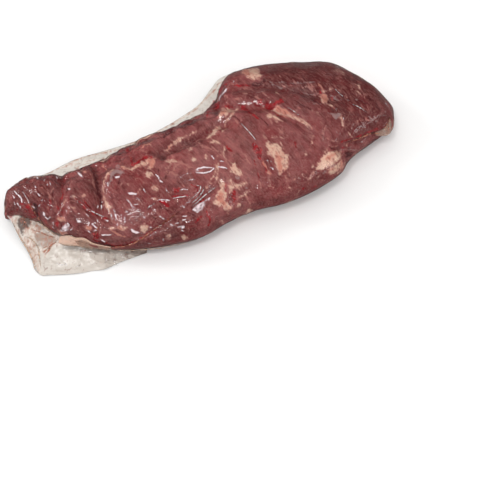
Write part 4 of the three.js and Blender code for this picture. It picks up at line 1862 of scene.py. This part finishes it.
@dataclass(frozen=True)
class SpareFilm:
    """Spare film off the meat: milky, stained with juice, and nearly opaque where it is doubled.
    Its grey and dark attributes are painted shade on the tail.
    """

    name: str
    milky: Tone = linear(240, 233, 224)
    shade: Tone = linear(194, 182, 170)
    tan: Tone = linear(190, 148, 126)
    orange: Tone = linear(180, 96, 70)
    # grey, and dark below, paint shade where the film lies in or over shade
    grey: Tone = linear(144, 132, 124)
    blood: Tone = linear(150, 26, 24)
    dark: Tone = linear(84, 62, 58)
    cover: float = 0.84
    roughness: float = 0.4
    gloss: float = 0.26

    def colour(self, nodes: Tree, haze: Socket) -> Socket:
        """Milky film, shaded by the haze, with its stains, the painted shade of grey and dark, and
        the orange threads in the stains.

        Args:
            nodes: the material's tree.
            haze: the haze, 0 to 1.

        Returns:
            The colour.
        """
        uneven = nodes.times(nodes.waver(nodes.places(), 4.5, 4, 0.6), 1.8)
        colour = nodes.tinted(self.milky, haze, 0.7, self.shade)
        # grey and dark paint shade; tan and blood are stains
        for name, tone, share in (
            ("grey", self.grey, 0.75), ("tan", self.tan, 0.8), ("dark", self.dark, 0.85),
            ("blood", self.blood, 0.85),
        ):
            shown = nodes.band(nodes.plus(nodes.attribute(name), uneven), 0.1, 1.0)
            colour = nodes.tinted(colour, shown, share, tone)
        threads = nodes.band(nodes.noise(nodes.places((1, 0.25, 1), 25), 3.4, 4, 0.8), 0.53, 0.62)
        threads = nodes.times(threads, nodes.attribute("tan"))
        return nodes.tinted(colour, threads, 0.75, self.orange)

    def make(self, effects: FilmEffects) -> Material:
        """Builds the material.

        Args:
            effects: the film's shared groups.

        Returns:
            Spare film.
        """
        material, nodes = new_material(self.name)
        normal = nodes.bump(nodes.group(effects.crinkle, Slack=0.8), 1.0, 0.5)
        colour = self.colour(nodes, nodes.group(effects.haze, Amount=1.0))
        stained = nodes.plus(nodes.attribute("tan"), nodes.attribute("blood"))
        cover = nodes.plus(nodes.times(stained, 0.25), self.cover, clamp=True)
        body = nodes.add("BsdfPrincipled", {
            "Base Color": colour, "Roughness": self.roughness, "Normal": normal,
        })
        nodes.finish(nodes.film(cover, body, self.gloss, normal))
        return material


@dataclass(frozen=True)
class CreaseFilm:
    """Film gathered in a crease: a pale or stained core that fades into the clear film. On the
    glint creases the white core is a painted highlight.
    """

    name: str
    tone: Tone
    cover: float
    roughness: float
    darker: float = 0.62
    gloss: float = 0.08

    def make(self) -> Material:
        """Builds the material.

        Returns:
            Gathered film.
        """
        material, nodes = new_material(self.name)
        where = nodes.places()
        broken = nodes.band(nodes.noise(where, 2.8, 3, 0.5), 0.36, 0.58, (0.25, 1))
        core = nodes.times(nodes.attribute("core"), broken)
        shown = nodes.times(nodes.band(core, 0.15, 0.95), self.cover)
        patches = nodes.band(nodes.noise(where, 3, 2), 0.4, 0.7)
        dark = tuple(self.darker * c for c in self.tone[:3]) + (1.0,)
        colour = nodes.tinted(self.tone, patches, 0.35, dark)
        body = nodes.add("BsdfPrincipled", {"Base Color": colour, "Roughness": self.roughness})
        nodes.finish(nodes.film(shown, body, self.gloss))
        return material


# The room


@dataclass(frozen=True)
class Studio:
    """A plain pale floor and soft light from large panels, each with a place in metres, a size and
    a power. Floor and room look darker in reflections, as dark cloths would make them."""

    floor_tone: float = 0.94
    floor_shade: float = 0.85
    floor_in_gloss: float = 0.2
    floor_half: float = 4.0
    floor_gap: float = 0.0004
    world: float = 0.86
    world_in_gloss: float = 0.09
    world_tone: Tone = (1, 0.99, 0.98, 1)
    panels: tuple[tuple[Triple, float, float], ...] = (
        ((-0.5, -0.5, 1.9), 0.4, 9.0), ((-1.5, 1.0, 1.3), 0.45, 7.0), ((1.3, -1.1, 1.1), 0.5, 3.0),
    )

    def build(self) -> None:
        """Makes the floor, the room and the panels."""
        bpy.context.scene.view_settings.view_transform = "Standard"
        self.build_floor()
        self.build_room()
        for number, (place, size, power) in enumerate(self.panels):
            data = bpy.data.lights.new(f"panel_{number}", "AREA")
            data.size, data.energy = size, power
            panel = bpy.data.objects.new(f"panel_{number}", data)
            panel.location = place
            panel.rotation_euler = Vector(place).to_track_quat("Z", "Y").to_euler()
            bpy.context.scene.collection.objects.link(panel)

    def build_floor(self) -> None:
        """Makes a square just under the ground, nearly white, with faint clouds."""
        mesh = bpy.data.meshes.new("floor")
        half = self.floor_half
        corners = [(-half, -half, 0), (half, -half, 0), (half, half, 0), (-half, half, 0)]
        mesh.from_pydata(corners, [], [(0, 1, 2, 3)])
        floor = bpy.data.objects.new("floor", mesh)
        floor.location.z = -self.floor_gap
        bpy.context.scene.collection.objects.link(floor)
        material, nodes = new_material("pale_floor")
        clouds = nodes.band(nodes.noise(nodes.places(), 400, 1), 0.3, 0.7)
        greys = self.floor_tone, self.floor_shade, self.floor_in_gloss
        tone, shade, dark = ((grey, grey, grey, 1.0) for grey in greys)
        colour = nodes.tinted(tone, clouds, 0.02, shade)
        mirrored = nodes.add("LightPath").outputs["Is Glossy Ray"]
        nodes.finish(nodes.add("BsdfDiffuse", {"Color": nodes.blend(mirrored, colour, dark)}))
        mesh.materials.append(material)

    def build_room(self) -> None:
        """Makes the even light of the room."""
        world = bpy.data.worlds.new("soft_room")
        world.use_nodes = True
        world.node_tree.nodes.clear()
        nodes = Tree(world.node_tree)
        mirrored = nodes.add("LightPath").outputs["Is Glossy Ray"]
        strength = nodes.band(mirrored, 0, 1, (self.world, self.world_in_gloss))
        light = nodes.add("Background", {"Color": self.world_tone, "Strength": strength})
        nodes.add("OutputWorld", {"Surface": light.outputs[0]})
        bpy.context.scene.world = world


# The whole


def margin_lines(
    form: PackForm, bite: float = 14, root: float = 21, edge: float = 9, count: int = 60
) -> tuple[Array, Array]:
    """Root and edge of the margin: the root lies in the pack, behind its back edge.

    Args:
        form: the pack's form.
        bite: how far the root lies inside the back edge.
        root: height of the root.
        edge: height of the free edge.
        count: points on each line.

    Returns:
        The points of the root and those of the edge.
    """
    line = resample(np.array(MARGIN_EDGE, float), count)
    table = np.array(form.stations, float)
    back = smooth_curve(line[:, 0], table[:, 0], table[:, 2])
    inner = np.minimum(line[:, 1], back) - bite
    roots = np.stack([line[:, 0], inner, np.full(count, root)], axis=-1)
    edges = np.stack([line[:, 0], line[:, 1], np.full(count, edge)], axis=-1)
    return roots, edges


def build_creases(groups: Sequence[tuple[Sequence[Crease], Skin]], view: PhotoView) -> None:
    """Makes one piece for each kind of crease.

    Args:
        groups: creases, each with the surface they lie on.
        view: the photograph's view.
    """
    finishes = {
        # The white core of the glint creases is a painted highlight; seams and bands are stained
        # film.
        GLINT: ("film_wrinkles", CreaseFilm("crease_glint", linear(255, 250, 250), 0.9, 0.2)),
        SEAM: ("film_seams", CreaseFilm("crease_seam", linear(206, 128, 100), 0.75, 0.35)),
        BAND: ("front_edge", CreaseFilm("crease_band", linear(222, 186, 160), 0.95, 0.35)),
    }
    form = CreaseForm()
    for kind, (name, finish) in finishes.items():
        bodies = [
            form.ridge(crease, stroke, view, skin)
            for creases, skin in groups for crease in creases if crease.kind is kind
            for stroke in strokes(crease.paths)
        ]
        piece = make_piece(name, bodies)
        paint(piece, "core", *[form.core] * len(bodies))
        dress(piece, finish.make())


def build_spare_film(
    form: PackForm, skin: Skin, view: PhotoView, effects: FilmEffects
) -> list[Skin]:
    """Makes the margin behind, the tail on the ground, the flap that crosses the front of the meat
    and the small tab at the head.

    Args:
        form: the pack's form.
        skin: the clinging film's surface.
        view: the photograph's view.
        effects: the film's shared groups.

    Returns:
        The surfaces of the tail, the flap and the tab.
    """
    finishes = {
        "back_margin": SpareFilm("margin_film"),
        "film_tail": SpareFilm("tail_film", milky=linear(229, 220, 210)),
        "front_flap": SpareFilm("stained_film", milky=linear(230, 188, 166), cover=0.97, gloss=0.4),
        "end_tab": SpareFilm("tab_film", milky=linear(196, 152, 130), cover=0.4, gloss=0.3),
    }
    made = {name: finish.make(effects) for name, finish in finishes.items()}
    upper, lower, root, edge = strokes("/".join((FLAP_UPPER, FLAP_LOWER, TAB_ROOT, TAB_EDGE)))
    margin = SpareSheet("back_margin", *margin_lines(form), 1.5, 300, 24, 0.8, 9)
    margin.build(made["back_margin"], MARGIN_MARKS, view)
    tail_lines = np.array(TAIL_ROOT, float), np.array(TAIL_EDGE, float)
    tail = SpareSheet("film_tail", *tail_lines, 1.5, 190, 60, 1.8, 26, soft=2.4)
    tail_skin = tail.build(made["film_tail"], TAIL_MARKS, view)
    flap_root = view.lift(upper, skin) + (0, -0.9, 1.0)
    flap_edge = view.lift(lower, tail_skin) + (0, -1.4, 1.8)
    flap = SpareSheet("front_flap", flap_root, flap_edge, 1.2, 90, 12, 0.6, 8)
    tab_root = view.lift(root, skin)
    tab_edge = view.beside(tab_root, edge) - (0, 0, 2)
    tab = SpareSheet("end_tab", tab_root, tab_edge, 1.0, 40, 14, 0.6, 8)
    flap_skin = flap.build(made["front_flap"], {}, view)
    return [tail_skin, flap_skin, tab.build(made["end_tab"], {}, view)]


def main() -> None:
    """Builds the studio and the pieces in order."""
    logging.basicConfig(level=logging.INFO, format="%(name)s: %(message)s")
    view = PhotoView()
    view.place_camera()
    Studio().build()
    form = PackForm()
    grid = form.grid()
    base = Skin(grid, ring_normals(grid))
    meat = Tenderloin()
    shown = meat.traits(base, view)
    heights = meat.heights(base, shown, form)
    meat.build(base, heights, shown, RawBeef().make())
    effects = FilmEffects()
    film = ClingFilm()
    # The painted highlights of the film.
    glare = covered(view.shown_at(base), GLARE, film.glint_soft)
    rings = film.rings(base, heights, glare)
    film.build(rings, glare, ClearFilm().make(effects))
    skin = Skin(rings, ring_normals(rings))
    skins = [skin, *build_spare_film(form, skin, view, effects)]
    build_creases(list(zip((PACK_CREASES, TAIL_CREASES, FLAP_CREASES, TAB_CREASES), skins)), view)


if __name__ == "__main__":
    main()
